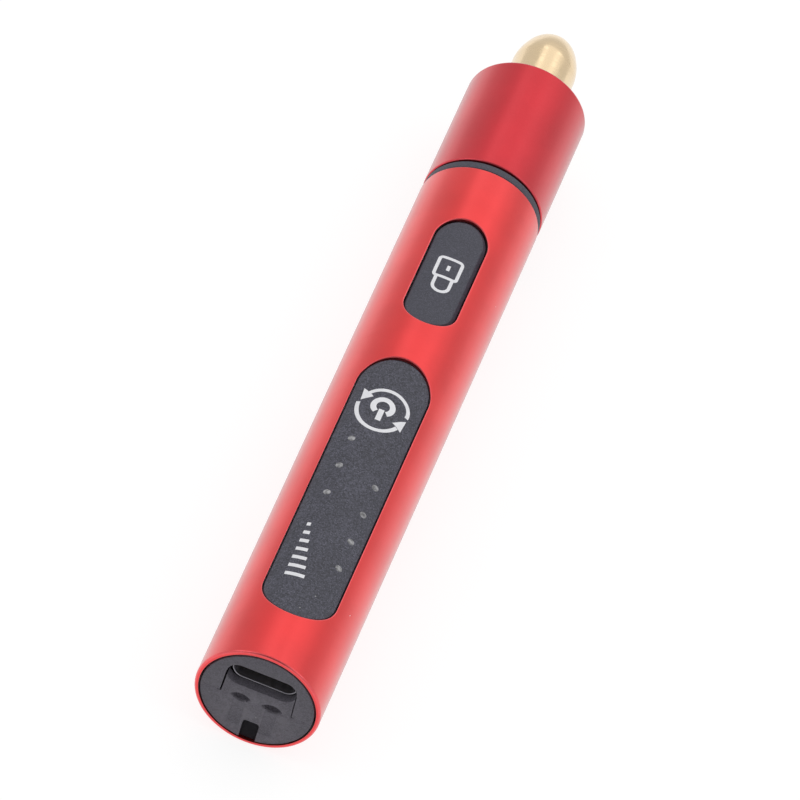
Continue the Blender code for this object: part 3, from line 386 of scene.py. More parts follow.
class Shape:
    """Points and faces of one piece, gathered in the pen's frame."""

    def __init__(self, name: str) -> None:
        """Starts an empty shape with the name of its piece."""
        self.name = name
        self.mesh = bmesh.new()

    def grid(self, rows: Sequence[Row], closed: bool = True, looped: bool = False) -> "Shape":
        """Adds the faces between neighbouring rows of points.

        Args:
            rows: Rows of as many points each.
            closed: Whether each row's last point joins its first.
            looped: Whether the last row joins the first.

        Returns:
            The shape.
        """
        made = [[self.mesh.verts.new(point) for point in row] for row in rows]
        pairs = list(zip(made, made[1:]))
        if looped:
            pairs.append((made[-1], made[0]))
        for near, far in pairs:
            for k in range(len(near) - (0 if closed else 1)):
                following = (k + 1) % len(near)
                self.mesh.faces.new((near[k], near[following], far[following], far[k]))
        return self

    def solid(self, rows: Sequence[Row]) -> "Shape":
        """Adds the faces between rows of points and closes both ends.

        Args:
            rows: Rows of as many points each.

        Returns:
            The shape.
        """
        self.grid(rows)
        for row in (rows[0], rows[-1]):
            self.mesh.faces.new([self.mesh.verts.new(point) for point in row])
        return self

    def turned(self, outline: Sequence[Point2], steps: int = ROUND_STEPS) -> "Shape":
        """Adds a closed outline turned about the pen's axis.

        Args:
            outline: The outline, as (radius, station).
            steps: Straight pieces round the axis.

        Returns:
            The shape.
        """
        angles = [math.tau * k / steps for k in range(steps)]
        rows = [wrapped([(a, station) for a in angles], radius) for radius, station in outline]
        return self.grid(rows, looped=True)

    def prism(self, outline: Sequence[Point2], low: float, high: float) -> "Shape":
        """Adds an upright prism over an outline of (across, station) points."""
        return self.solid([level(outline, low), level(outline, high)])

    def ribbon(self, edges: Edges, skin: Skin, ink: Ink, closed: bool = False) -> "Shape":
        """Adds a thin printed strip that follows a skin.

        Args:
            edges: The strip's left and right edge point at each step along it.
            skin: The skin that it is printed on.
            ink: How the ink lies on it.
            closed: Whether the strip runs back into its start.

        Returns:
            The shape.
        """
        rows = []
        for left, right in edges:
            across = [*spread(left, right, RIBBON_STEPS), right]
            under = skin.lift(across[::-1], ink.rise - ink.depth)
            rows.append(skin.lift(across, ink.rise) + under)
        return self.grid(rows, looped=True) if closed else self.solid(rows)

    def box(self, low: Sequence[float], high: Sequence[float], edge: float = 0.0) -> "Shape":
        """Adds a box.

        Args:
            low: Its lowest corner.
            high: Its highest corner.
            edge: Width of the bevel on its edges, or zero for none.

        Returns:
            The shape.
        """
        size = Vector(high) - Vector(low)
        middle = (Vector(high) + Vector(low)) / 2
        matrix = Matrix.Translation(middle) @ Matrix.Diagonal((*size, 1))
        made = bmesh.ops.create_cube(self.mesh, size=1, matrix=matrix)
        if edge > 0:
            edges = {side for vert in made["verts"] for side in vert.link_edges}
            bmesh.ops.bevel(
                self.mesh, geom=list(edges), offset=edge, segments=2, profile=0.5, affect="EDGES",
            )
        return self

    def to_object(self, pen: PenFrame) -> Thing:
        """Makes the shape an object in the world.

        Args:
            pen: The pen's frame.

        Returns:
            The new object, smooth where its faces meet at a small angle.
        """
        bmesh.ops.remove_doubles(self.mesh, verts=self.mesh.verts, dist=WELD)
        bmesh.ops.dissolve_degenerate(self.mesh, edges=self.mesh.edges, dist=WELD / 2)
        bmesh.ops.recalc_face_normals(self.mesh, faces=self.mesh.faces)
        data = bpy.data.meshes.new(self.name)
        self.mesh.to_mesh(data)
        self.mesh.free()
        data.transform(pen.matrix)
        return smooth(placed(self.name, data))


def placed(name: str, data: bpy.types.ID) -> Thing:
    """Puts an object with this data in the scene.

    Args:
        name: The object's name.
        data: Its mesh, curve, lamp or camera.

    Returns:
        The object.
    """
    thing = bpy.data.objects.new(name, data)
    bpy.context.scene.collection.objects.link(thing)
    return thing


def smooth(thing: Thing) -> Thing:
    """Shades an object smooth up to the sharp angle and marks how much each point is an edge.

    Args:
        thing: The object.

    Returns:
        The same object.
    """
    data = thing.data
    data.shade_smooth()
    data.set_sharp_from_angle(angle=SHARP)
    work = bmesh.new()
    work.from_mesh(data)
    values = []
    for vert in work.verts:
        bends = [side.calc_face_angle_signed(0.0) for side in vert.link_edges]
        share = (max(bends, default=0.0) - EDGE_FROM) / (EDGE_FULL - EDGE_FROM)
        values.append(min(max(share, 0.0), 1.0))
    work.free()
    attribute = data.attributes.get(EDGE_ATTRIBUTE)
    attribute = attribute or data.attributes.new(EDGE_ATTRIBUTE, "FLOAT", "POINT")
    attribute.data.foreach_set("value", values)
    if not thing.modifiers.get("even_normals"):
        even = thing.modifiers.new("even_normals", "WEIGHTED_NORMAL")
        even.keep_sharp = True
    return thing


def settled(thing: Thing) -> Thing:
    """Replaces an object's mesh, or a curve, by the mesh that its modifiers make.

    Args:
        thing: The object, which is used up.

    Returns:
        The new object, with the same name.
    """
    shaded = thing.modifiers.get("even_normals")
    if shaded:
        thing.modifiers.remove(shaded)
    graph = bpy.context.evaluated_depsgraph_get()
    data = bpy.data.meshes.new_from_object(thing.evaluated_get(graph))
    name = thing.name
    bpy.data.objects.remove(thing)
    return placed(name, data)


def welded(thing: Thing, matrix: Matrix | None = None) -> Thing:
    """Welds an object's doubled points and shades it smooth.

    Args:
        thing: The object.
        matrix: Where to move its points, if anywhere.

    Returns:
        The same object.
    """
    work = bmesh.new()
    work.from_mesh(thing.data)
    bmesh.ops.remove_doubles(work, verts=work.verts, dist=WELD)
    if matrix is not None:
        work.transform(matrix)
        bmesh.ops.recalc_face_normals(work, faces=work.faces)
    work.to_mesh(thing.data)
    work.free()
    return smooth(thing)


class Joining(Enum):
    """How tools change the piece that they meet, in Blender's own words."""

    UNION = "UNION"
    DIFFERENCE = "DIFFERENCE"


def combined(thing: Thing, tools: Sequence[Thing], joining: Joining) -> Thing:
    """Cuts or joins an object with tool objects, which it uses up.

    Args:
        thing: The object to change.
        tools: The tool objects.
        joining: Whether the tools are added or taken away.

    Returns:
        The changed object.
    """
    for tool in tools:
        step = thing.modifiers.new(tool.name, "BOOLEAN")
        step.operation = joining.value
        step.solver = "EXACT"
        step.object = tool
    made = settled(thing)
    for tool in tools:
        bpy.data.objects.remove(tool)
    return welded(made)


def plate(
    name: str, pen: PenFrame, loop: Sequence[Point2], rear: float, front: float, edge: float
) -> Thing:
    """A flat plate square to the pen, with rounded edges.

    Args:
        name: The piece's name.
        pen: The pen's frame.
        loop: The plate's outline, as (across, up) points.
        rear: Station of its rear face.
        front: Station of its front face.
        edge: Radius of its edges.

    Returns:
        The plate's object.
    """
    curve = bpy.data.curves.new(name, "CURVE")
    curve.dimensions = "2D"
    curve.fill_mode = "BOTH"
    curve.extrude = (front - rear) / 2 - edge
    curve.bevel_depth = edge
    curve.bevel_resolution = 2
    curve.offset = -edge
    spline = curve.splines.new("POLY")
    spline.points.add(len(loop) - 1)
    spline.use_cyclic_u = True
    for spot, (u, v) in zip(spline.points, loop):
        spot.co = (u, v, 0, 1)
    across = Matrix(((1, 0, 0, 0), (0, 0, 1, (front + rear) / 2), (0, 1, 0, 0), (0, 0, 0, 1)))
    return welded(settled(placed(name, curve)), pen.matrix @ across)


# Shader node groups

class NodeSheet:
    """A thin layer over a node tree that adds a node and feeds its inputs in one call."""

    def __init__(self, tree: bpy.types.NodeTree) -> None:
        """Keeps the tree to draw on."""
        self.tree = tree

    def feed(self, node: bpy.types.Node, inputs: Inputs) -> None:
        """Fills a node's inputs.

        Args:
            node: The node.
            inputs: Sockets to link or plain values to set, by input name or number.
        """
        for name, value in inputs.items():
            if isinstance(value, Socket):
                self.tree.links.new(value, node.inputs[name])
            else:
                node.inputs[name].default_value = value

    def add(self, kind: str, inputs: Inputs | None = None, **settings: object) -> bpy.types.Node:
        """Adds a node.

        Args:
            kind: Blender's name of the node type.
            inputs: What its inputs are filled with.
            settings: The node's own properties.

        Returns:
            The new node.
        """
        node = self.tree.nodes.new(kind)
        for name, value in settings.items():
            setattr(node, name, value)
        self.feed(node, inputs or {})
        return node

    def maths(self, operation: str, *values: object) -> Socket:
        """The result of a mathematical operation on sockets or plain values."""
        return self.add("ShaderNodeMath", dict(enumerate(values)), operation=operation).outputs[0]

    def summed(self, total: object, *terms: tuple[object, object]) -> Socket:
        """A value plus the product of each pair.

        Args:
            total: What the sum starts from.
            terms: The pairs.

        Returns:
            The sum.
        """
        for first, second in terms:
            total = self.maths("MULTIPLY_ADD", first, second, total)
        return total

    def ramp(self, value: Socket, low: float, high: float) -> Socket:
        """A value stretched from low..high to 0..1 with smooth ends."""
        inputs = {"Value": value, "From Min": low, "From Max": high}
        return self.add("ShaderNodeMapRange", inputs, interpolation_type="SMOOTHSTEP").outputs[0]

    def layered(self, base: object, *layers: Layer) -> Socket:
        """Lays colours over each other.

        Args:
            base: The lowest colour.
            layers: A mask, how much of it counts, and the colour that it lays on.

        Returns:
            The colour on top.
        """
        for mask, gain, colour in layers:
            share = mask if gain == 1 else self.maths("MULTIPLY", mask, gain)
            inputs = {"Factor": share, 6: base, 7: colour}
            base = self.add("ShaderNodeMix", inputs, data_type="RGBA").outputs[2]
        return base

    def millimetres(self, scale: Sequence[float] = (1, 1, 1)) -> Socket:
        """The piece's own coordinates in millimetres.

        Args:
            scale: How far they are stretched along each axis.

        Returns:
            The coordinates.
        """
        place = self.add("ShaderNodeTexCoord").outputs["Object"]
        inputs = {0: place, 1: tuple(value / MM for value in scale)}
        return self.add("ShaderNodeVectorMath", inputs, operation="MULTIPLY").outputs[0]

    def noise(self, scale: object, detail: float, place: Socket | None = None) -> Socket:
        """Cloudy noise.

        Args:
            scale: How many clouds there are to a step of its coordinates.
            detail: How finely the clouds are broken up.
            place: Its coordinates, if they aren't the piece's own millimetres.

        Returns:
            The noise's value.
        """
        place = self.millimetres() if place is None else place
        inputs = {"Vector": place, "Scale": scale, "Detail": detail}
        return self.add("ShaderNodeTexNoise", inputs).outputs["Fac"]

    def cells(self, scale: object) -> tuple[Socket, Socket]:
        """Cells over the piece's millimetres.

        Args:
            scale: How many there are to a millimetre.

        Returns:
            The distance from each cell's middle, and a random value for each cell.
        """
        inputs = {"Vector": self.millimetres(), "Scale": scale}
        cells = self.add("ShaderNodeTexVoronoi", inputs).outputs
        inputs = {"Vector": cells["Color"]}
        value = self.add("ShaderNodeTexWhiteNoise", inputs, noise_dimensions="3D")
        return cells["Distance"], value.outputs["Value"]


class Effect(Enum):
    """The shader node groups that materials share."""

    GRAIN = "fine_grain"
    STREAKS = "tool_marks"
    WEAR = "edge_wear"
    DUST = "loose_dust"
    DRIFT = "slow_drift"


class Effects:
    """Builds each shared node group once."""

    def __init__(self) -> None:
        """Builds every group from the default values of its inputs."""
        self.groups = {
            Effect.GRAIN: self.build(Effect.GRAIN, self.grain, Size=0.1, Sparkle=0.6),
            Effect.STREAKS: self.build(Effect.STREAKS, self.streaks, Spacing=0.08, Along=0.0),
            Effect.WEAR: self.build(Effect.WEAR, self.wear, Size=0.6, Evenness=0.7),
            Effect.DUST: self.build(Effect.DUST, self.dust, Spacing=2.2, Speck=0.035, Share=0.35),
            Effect.DRIFT: self.build(Effect.DRIFT, self.drift, Size=6.0),
        }

    def build(
        self, effect: Effect, draw: Callable[[NodeSheet, Outputs], Inputs], **defaults: float
    ) -> bpy.types.NodeTree:
        """Builds a group with plain number sockets.

        Args:
            effect: Which group this is.
            draw: The method that draws it.
            defaults: Default value by input name.

        Returns:
            The group.
        """
        tree = bpy.data.node_groups.new(effect.value, "ShaderNodeTree")
        for name, value in defaults.items():
            socket = tree.interface.new_socket(name, in_out="INPUT", socket_type="NodeSocketFloat")
            socket.default_value = value
        sheet = NodeSheet(tree)
        results = draw(sheet, sheet.add("NodeGroupInput").outputs)
        for name in results:
            tree.interface.new_socket(name, in_out="OUTPUT", socket_type="NodeSocketFloat")
        sheet.feed(sheet.add("NodeGroupOutput"), results)
        return tree

    def grain(self, sheet: NodeSheet, given: Outputs) -> Inputs:
        """Draws fine blasted or moulded grain.

        Args:
            sheet: The group's sheet.
            given: The group's inputs.

        Returns:
            A height, each grain's tone, and the brightest specks.
        """
        scale = sheet.maths("DIVIDE", 1.0, given["Size"])
        distance, tone = sheet.cells(scale)
        chosen = sheet.maths("GREATER_THAN", tone, given["Sparkle"])
        specks = sheet.maths("MULTIPLY", chosen, sheet.ramp(distance, 0.45, 0.1))
        return {"Height": sheet.noise(scale, 3.0), "Tone": tone, "Specks": specks}

    def streaks(self, sheet: NodeSheet, given: Outputs) -> Inputs:
        """Draws fine parallel marks, round the pen for turned pieces or along it for drawn ones.

        Args:
            sheet: The group's sheet.
            given: The group's inputs.

        Returns:
            The marks' height, and broader bands.
        """
        rate = sheet.maths("DIVIDE", 1.0, given["Spacing"])
        slow = sheet.maths("MULTIPLY", rate, 0.02)
        drawn = given["Along"]
        turned = sheet.maths("SUBTRACT", 1.0, drawn)
        along = sheet.summed(0.0, (rate, turned), (slow, drawn))
        across = sheet.summed(0.0, (slow, turned), (rate, drawn))
        parts = sheet.add("ShaderNodeSeparateXYZ", {0: sheet.millimetres()}).outputs
        squeezed = sheet.add("ShaderNodeCombineXYZ", {
            axis: sheet.maths("MULTIPLY", parts[axis], gain)
            for axis, gain in (("X", across), ("Y", along), ("Z", across))
        }).outputs[0]
        band = sheet.ramp(sheet.noise(0.12, 1.0, squeezed), 0.35, 0.65)
        return {"Height": sheet.noise(1.0, 2.0, squeezed), "Band": band}

    def wear(self, sheet: NodeSheet, given: Outputs) -> Inputs:
        """Draws wear along convex edges, uneven along its length.

        Args:
            sheet: The group's sheet.
            given: The group's inputs.

        Returns:
            The wear's mask.
        """
        edge = sheet.add("ShaderNodeAttribute", attribute_name=EDGE_ATTRIBUTE).outputs["Fac"]
        noise = sheet.noise(sheet.maths("DIVIDE", 1.0, given["Size"]), 3.0)
        kept = sheet.maths("MAXIMUM", sheet.ramp(noise, 0.35, 0.6), given["Evenness"])
        return {"Mask": sheet.maths("MULTIPLY", edge, kept)}

    def dust(self, sheet: NodeSheet, given: Outputs) -> Inputs:
        """Draws loose pale dust specks, few and small.

        Args:
            sheet: The group's sheet.
            given: The group's inputs.

        Returns:
            The specks' mask.
        """
        distance, value = sheet.cells(sheet.maths("DIVIDE", 1.0, given["Spacing"]))
        chosen = sheet.maths("LESS_THAN", value, given["Share"])
        size = sheet.summed(given["Speck"], (given["Speck"], value))
        return {"Mask": sheet.maths("MULTIPLY", chosen, sheet.maths("LESS_THAN", distance, size))}

    def drift(self, sheet: NodeSheet, given: Outputs) -> Inputs:
        """Draws a slow, cloudy change over some millimetres, as a value."""
        noise = sheet.noise(sheet.maths("DIVIDE", 1.0, given["Size"]), 4.0)
        return {"Value": sheet.ramp(noise, 0.3, 0.7)}


class Brush(NodeSheet):
    """A material's sheet, with the shared groups at hand."""

    def __init__(self, tree: bpy.types.NodeTree, effects: Effects) -> None:
        """Keeps the tree to draw on and the shared groups."""
        super().__init__(tree)
        self.effects = effects

    def put(self, effect: Effect, **values: float) -> Outputs:
        """Places a shared group.

        Args:
            effect: Which group to place.
            values: Values by input name, in small letters.

        Returns:
            The group's outputs.
        """
        group = self.effects.groups[effect]
        inputs = {name.capitalize(): value for name, value in values.items()}
        return self.add("ShaderNodeGroup", inputs, node_tree=group).outputs

    def bumped(self, height: Socket, strength: float, depth: float) -> Socket:
        """A normal from a height, whose full range stands for a depth in metres."""
        inputs = {"Height": height, "Strength": strength, "Distance": depth}
        return self.add("ShaderNodeBump", inputs).outputs["Normal"]


# Finishes

@dataclass(frozen=True)
class Finish:
    """What every finish holds: its name, its colour, and how rough it is."""

    name: str
    colour: Colour
    roughness: float

    def build(self, effects: Effects) -> bpy.types.Material:
        """Builds the material.

        Args:
            effects: The shared node groups.

        Returns:
            The material.
        """
        material = bpy.data.materials.new(self.name)
        material.use_nodes = True
        brush = Brush(material.node_tree, effects)
        brush.feed(material.node_tree.nodes["Principled BSDF"], self.inputs(brush))
        return material

    def inputs(self, brush: Brush) -> Inputs:
        """The main shader's inputs, which each kind of finish draws in its own way."""
        raise NotImplementedError

    def tone(self, gain: float = 1.0, lift: float = 0.0) -> tuple[float, ...]:
        """The finish's colour with a gain and a lift, and with full alpha."""
        return (*(min(channel * gain + lift, 1) for channel in self.colour), 1)

    def rough(self, brush: Brush, height: Socket, span: float, *more: tuple[Socket, float]) -> Socket:
        """The finish's roughness, spread by a height over a span about its middle, and more."""
        return brush.summed(self.roughness - span / 2, (height, span), *more)


@dataclass(frozen=True)
class Anodised(Finish):
    """Blasted and anodised aluminium; its convex edges are painted paler, partly bare machined metal
    and partly a painted highlight.
    """

    bare_edge_and_highlight_colour: Colour
    grain: float = 0.09
    clear: float = 0.4
    cloud: float = 0.92
    glint: float = 1.12
    dust: Colour = (0.9, 0.82, 0.82)
    coat: float = 1.0
    coat_roughness: float = 0.26
    coat_ior: float = 1.3
    sheen: float = 0.5
    sheen_roughness: float = 0.3

    def inputs(self, brush: Brush) -> Inputs:
        """Draws the red skin: clouds, glints, pale edges that are partly bare metal and partly a
        painted highlight, and dust.

        Args:
            brush: The material's sheet.

        Returns:
            The main shader's inputs.
        """
        grain = brush.put(Effect.GRAIN, size=self.grain, sparkle=0.72)
        streaks = brush.put(Effect.STREAKS, spacing=0.25, along=1.0)
        drift = brush.put(Effect.DRIFT, size=7.0)
        wear = brush.put(Effect.WEAR, size=0.5, evenness=0.75)
        dust = brush.put(Effect.DUST, spacing=3.4, speck=0.02, share=0.3)
        base = brush.layered(
            self.tone(),
            (drift["Value"], 1, self.tone(self.cloud)),
            (grain["Specks"], 0.5, self.tone(self.glint, 0.01)),
            # Paler convex edges: partly bare machined metal, partly a painted highlight where the
            # bevels catch the light.
            (wear["Mask"], self.clear, (*self.bare_edge_and_highlight_colour, 1)),
            (dust["Mask"], 1, (*self.dust, 1)),
        )
        rough = brush.summed(
            self.roughness - 0.06,
            (grain["Height"], 0.08), (streaks["Band"], 0.03), (wear["Mask"], -0.1),
        )
        height = brush.summed(grain["Height"], (streaks["Height"], 0.25))
        return {
            "Base Color": base,
            "Roughness": rough,
            "Metallic": brush.summed(1.0, (dust["Mask"], -0.8)),
            "Normal": brush.bumped(height, 0.35, 0.006 * MM),
            "Coat Weight": self.coat,
            "Coat Roughness": self.coat_roughness,
            "Coat IOR": self.coat_ior,
            "Sheen Weight": self.sheen,
            "Sheen Roughness": self.sheen_roughness,
        }


@dataclass(frozen=True)
class Moulded(Finish):
    """Moulded plastic or rubber with a spark-eroded grain."""

    grain: float = 0.13
    contrast: float = 0.25
    speck_gain: float = 1.8
    sparkle: float = 0.75
    depth: float = 0.012
    dusty: float = 0.3
    dust: Colour = (0.42, 0.42, 0.42)
    shine: float = 0.5

    def inputs(self, brush: Brush) -> Inputs:
        """Draws the grain's tones, clouds, specks, paler edges and dust.

        Args:
            brush: The material's sheet.

        Returns:
            The main shader's inputs.
        """
        grain = brush.put(Effect.GRAIN, size=self.grain, sparkle=self.sparkle)
        drift = brush.put(Effect.DRIFT, size=5.0)
        wear = brush.put(Effect.WEAR, size=0.8, evenness=0.5)
        dust = brush.put(Effect.DUST, spacing=2.4, speck=0.03, share=self.dusty)
        deep = self.tone(1 - self.contrast)
        base = brush.layered(
            deep,
            (grain["Tone"], 1, self.tone(1 + self.contrast)),
            (drift["Value"], 0.3, deep),
            (grain["Specks"], 1, self.tone(self.speck_gain)),
            (wear["Mask"], 0.6, self.tone(1.5, 0.012)),
            (dust["Mask"], 1, (*self.dust, 1)),
        )
        return {
            "Base Color": base,
            "Roughness": self.rough(brush, grain["Height"], 0.14, (wear["Mask"], -0.12)),
            "Normal": brush.bumped(grain["Height"], 0.6, self.depth * MM),
            "Specular IOR Level": self.shine,
        }


class Marks(Enum):
    """Which way a metal's tool marks run."""

    TURNED = 0.0
    DRAWN = 1.0


@dataclass(frozen=True)
class Metal(Finish):
    """Bare metal with tool marks round it or along it."""

    marks: Marks = Marks.TURNED
    spacing: float = 0.06
    depth: float = 0.004
    lacquer: float = 0.0
    evenness: float = 0.6

    def inputs(self, brush: Brush) -> Inputs:
        """Draws clouds, bright edges and tool marks.

        Args:
            brush: The material's sheet.

        Returns:
            The main shader's inputs.
        """
        streaks = brush.put(Effect.STREAKS, spacing=self.spacing, along=self.marks.value)
        drift = brush.put(Effect.DRIFT, size=3.0)
        wear = brush.put(Effect.WEAR, size=0.4, evenness=self.evenness)
        base = brush.layered(
            self.tone(),
            (drift["Value"], 1, self.tone(0.65 + 0.35 * self.evenness)),
            (wear["Mask"], 0.7, self.tone(1.15)),
        )
        return {
            "Base Color": base,
            "Roughness": self.rough(brush, streaks["Band"], 0.1, (drift["Value"], 0.05)),
            "Normal": brush.bumped(streaks["Height"], 0.5, self.depth * MM),
            "Metallic": 1.0,
            "Coat Weight": self.lacquer,
            "Coat Roughness": 0.15,
        }


@dataclass(frozen=True)
class Printed(Finish):
    """Pale pad-printed ink, slightly thin in places."""

    thin: float = 0.86
    pinhole: float = 0.5

    def inputs(self, brush: Brush) -> Inputs:
        """Draws thin places and pinholes.

        Args:
            brush: The material's sheet.

        Returns:
            The main shader's inputs.
        """
        grain = brush.put(Effect.GRAIN, size=0.07, sparkle=0.8)
        drift = brush.put(Effect.DRIFT, size=0.9)
        base = brush.layered(
            self.tone(),
            (drift["Value"], 0.5, self.tone(self.thin)),
            (grain["Specks"], 0.25, self.tone(self.pinhole)),
        )
        return {
            "Base Color": base,
            "Roughness": self.rough(brush, grain["Height"], 0.2),
            "Normal": brush.bumped(grain["Height"], 0.3, 0.006 * MM),
        }


@dataclass(frozen=True)
class LightGuide(Finish):
    """Milky light guides, dark in the middle of the mould's gate mark."""

    dark: Colour = (0.12, 0.12, 0.125)

    def inputs(self, brush: Brush) -> Inputs:
        """Draws the milky and the dark blotches.

        Args:
            brush: The material's sheet.

        Returns:
            The main shader's inputs.
        """
        blotch = brush.put(Effect.DRIFT, size=0.42)["Value"]
        grain = brush.put(Effect.GRAIN, size=0.08, sparkle=0.6)
        return {
            "Base Color": brush.layered(self.tone(), (blotch, 1, (*self.dark, 1))),
            "Roughness": self.rough(brush, grain["Height"], 0.2),
            "Normal": brush.bumped(blotch, 0.4, 0.02 * MM),
        }


@dataclass(frozen=True)
class Laminate(Finish):
    """Circuit board: green mask over copper tracks that run along the board."""

    track: Colour = (0.03, 0.27, 0.1)
    pitch: float = 0.45
    stretch: float = 0.08

    def inputs(self, brush: Brush) -> Inputs:
        """Draws the tracks.

        Args:
            brush: The material's sheet.

        Returns:
            The main shader's inputs.
        """
        grain = brush.put(Effect.GRAIN, size=0.06, sparkle=0.8)
        inputs = {"Vector": brush.millimetres((1 / self.pitch, self.stretch, 1)), "Scale": 1.0}
        cells = brush.add("ShaderNodeTexVoronoi", inputs, feature="DISTANCE_TO_EDGE")
        tracks = brush.ramp(cells.outputs["Distance"], 0.08, 0.14)
        return {
            "Base Color": brush.layered(self.tone(), (tracks, 1, (*self.track, 1))),
            "Roughness": self.rough(brush, grain["Height"], 0.15),
            "Normal": brush.bumped(tracks, 0.5, 0.02 * MM),
        }


@dataclass(frozen=True)
class Ground(Finish):
    """Pale studio paper, a little brighter where the camera sees it."""

    lift: float = 0.0
    cloud: float = 0.985
    shine: float = 0.1

    def inputs(self, brush: Brush) -> Inputs:
        """Draws the paper, and its own light for what the camera sees or sees mirrored.

        Args:
            brush: The material's sheet.

        Returns:
            The main shader's inputs.
        """
        drift = brush.put(Effect.DRIFT, size=40.0)
        grain = brush.put(Effect.GRAIN, size=0.5, sparkle=0.9)
        path = brush.add("ShaderNodeLightPath").outputs
        seen = brush.maths("MAXIMUM", path["Is Camera Ray"], path["Is Glossy Ray"])
        seen = brush.maths("MAXIMUM", seen, path["Is Transmission Ray"])
        return {
            "Base Color": brush.layered(self.tone(), (drift["Value"], 1, self.tone(self.cloud))),
            "Roughness": self.rough(brush, grain["Height"], 0.1),
            "Emission Color": (1, 1, 1, 1),
            "Emission Strength": brush.maths("MULTIPLY", seen, self.lift),
            "Specular IOR Level": self.shine,
        }


BOOK = (
    # The last colour of each anodised finish is its paler edge, partly bare metal and partly a
    # painted highlight.
    Anodised("red_anodised", (0.85, 0.050, 0.051), 0.38, (0.95, 0.24, 0.28)),
    Anodised("crimson_anodised", (0.67, 0.024, 0.037), 0.42, (0.85, 0.16, 0.2)),
    Moulded("charcoal_plastic", (0.067, 0.067, 0.091), 0.58),
    Moulded(
        "panel_plastic", (0.071, 0.071, 0.096), 0.55, grain=0.17, contrast=0.5, speck_gain=2.3,
    ),
    Moulded("end_plastic", (0.138, 0.130, 0.156), 0.6, contrast=0.32, speck_gain=1.6),
    # Painted shade: near-black plastic for the plate that fills the keyway where there is only shade.
    Moulded("shadow_black_plastic", (0.010, 0.0095, 0.013), 0.8, dusty=0.0, shine=0.15),
    Metal("socket_steel", (0.44, 0.43, 0.47), 0.5, marks=Marks.DRAWN),
    Moulded("black_plastic", (0.012, 0.012, 0.013), 0.45, dusty=0.1),
    Moulded("rubber", (0.014, 0.014, 0.014), 0.75, dusty=0.1),
    Metal("steel", (0.52, 0.53, 0.55), 0.28),
    Metal("bright_steel", (0.72, 0.73, 0.75), 0.18),
    Metal(
        "brass", (0.83, 0.64, 0.40), 0.20, spacing=0.09, depth=0.002, lacquer=0.5, evenness=0.95,
    ),
    Metal("nickel", (0.64, 0.62, 0.57), 0.3, marks=Marks.DRAWN),
    Metal("gold", (0.88, 0.66, 0.28), 0.25, marks=Marks.DRAWN),
    Metal("copper", (0.72, 0.34, 0.17), 0.33, spacing=0.12, depth=0.03),
    Metal("magnet", (0.27, 0.27, 0.29), 0.36),
    Laminate("board", (0.012, 0.12, 0.045), 0.4),
    LightGuide("lamp", (0.46, 0.46, 0.48), 0.35),
    Moulded("cell_wrap", (0.03, 0.12, 0.36), 0.35, grain=0.4, depth=0.03),
    Moulded("red_wire", (0.5, 0.02, 0.02), 0.45, dusty=0.05),
    Moulded("black_wire", (0.016, 0.016, 0.016), 0.45, dusty=0.05),
    Printed("ink", (0.96, 0.96, 1.0), 0.5),
)


class FinishBook:
    """Every finish of the pen, built once and looked up by its name."""

    def __init__(self) -> None:
        """Builds the shared groups and every material."""
        self.effects = Effects()
        self.materials = {finish.name: finish.build(self.effects) for finish in BOOK}

    def dress(self, thing: Thing, finish: str) -> None:
        """Gives an object one material.

        Args:
            thing: The object.
            finish: The finish's name.
        """
        material = self.materials[finish]
        if thing.material_slots:
            for slot in thing.material_slots:
                slot.material = material
        else:
            thing.data.materials.append(material)


# Sub-assemblies

@dataclass
class SubAssembly:
    """What every sub-assembly has: the pen's frame, the finishes, and its pieces so far."""

    pen: PenFrame
    book: FinishBook
    pieces: list[Thing] = field(default_factory=list, init=False)

    def build(self) -> None:
        """Builds every piece, which each sub-assembly does in its own way."""
        raise NotImplementedError

    def add(
        self,
        piece: Shape | Thing,
        finish: str,
        body: str = "root",
        nodes: Sequence[str] = (),
        slot: str | None = None,
    ) -> None:
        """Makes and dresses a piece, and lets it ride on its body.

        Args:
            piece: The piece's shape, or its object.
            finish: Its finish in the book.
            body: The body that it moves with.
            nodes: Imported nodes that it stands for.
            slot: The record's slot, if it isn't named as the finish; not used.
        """
        thing = piece.to_object(self.pen) if isinstance(piece, Shape) else piece
        self.book.dress(thing, finish)
        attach(thing, body)
        if nodes:
            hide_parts(*nodes)
        self.pieces.append(thing)


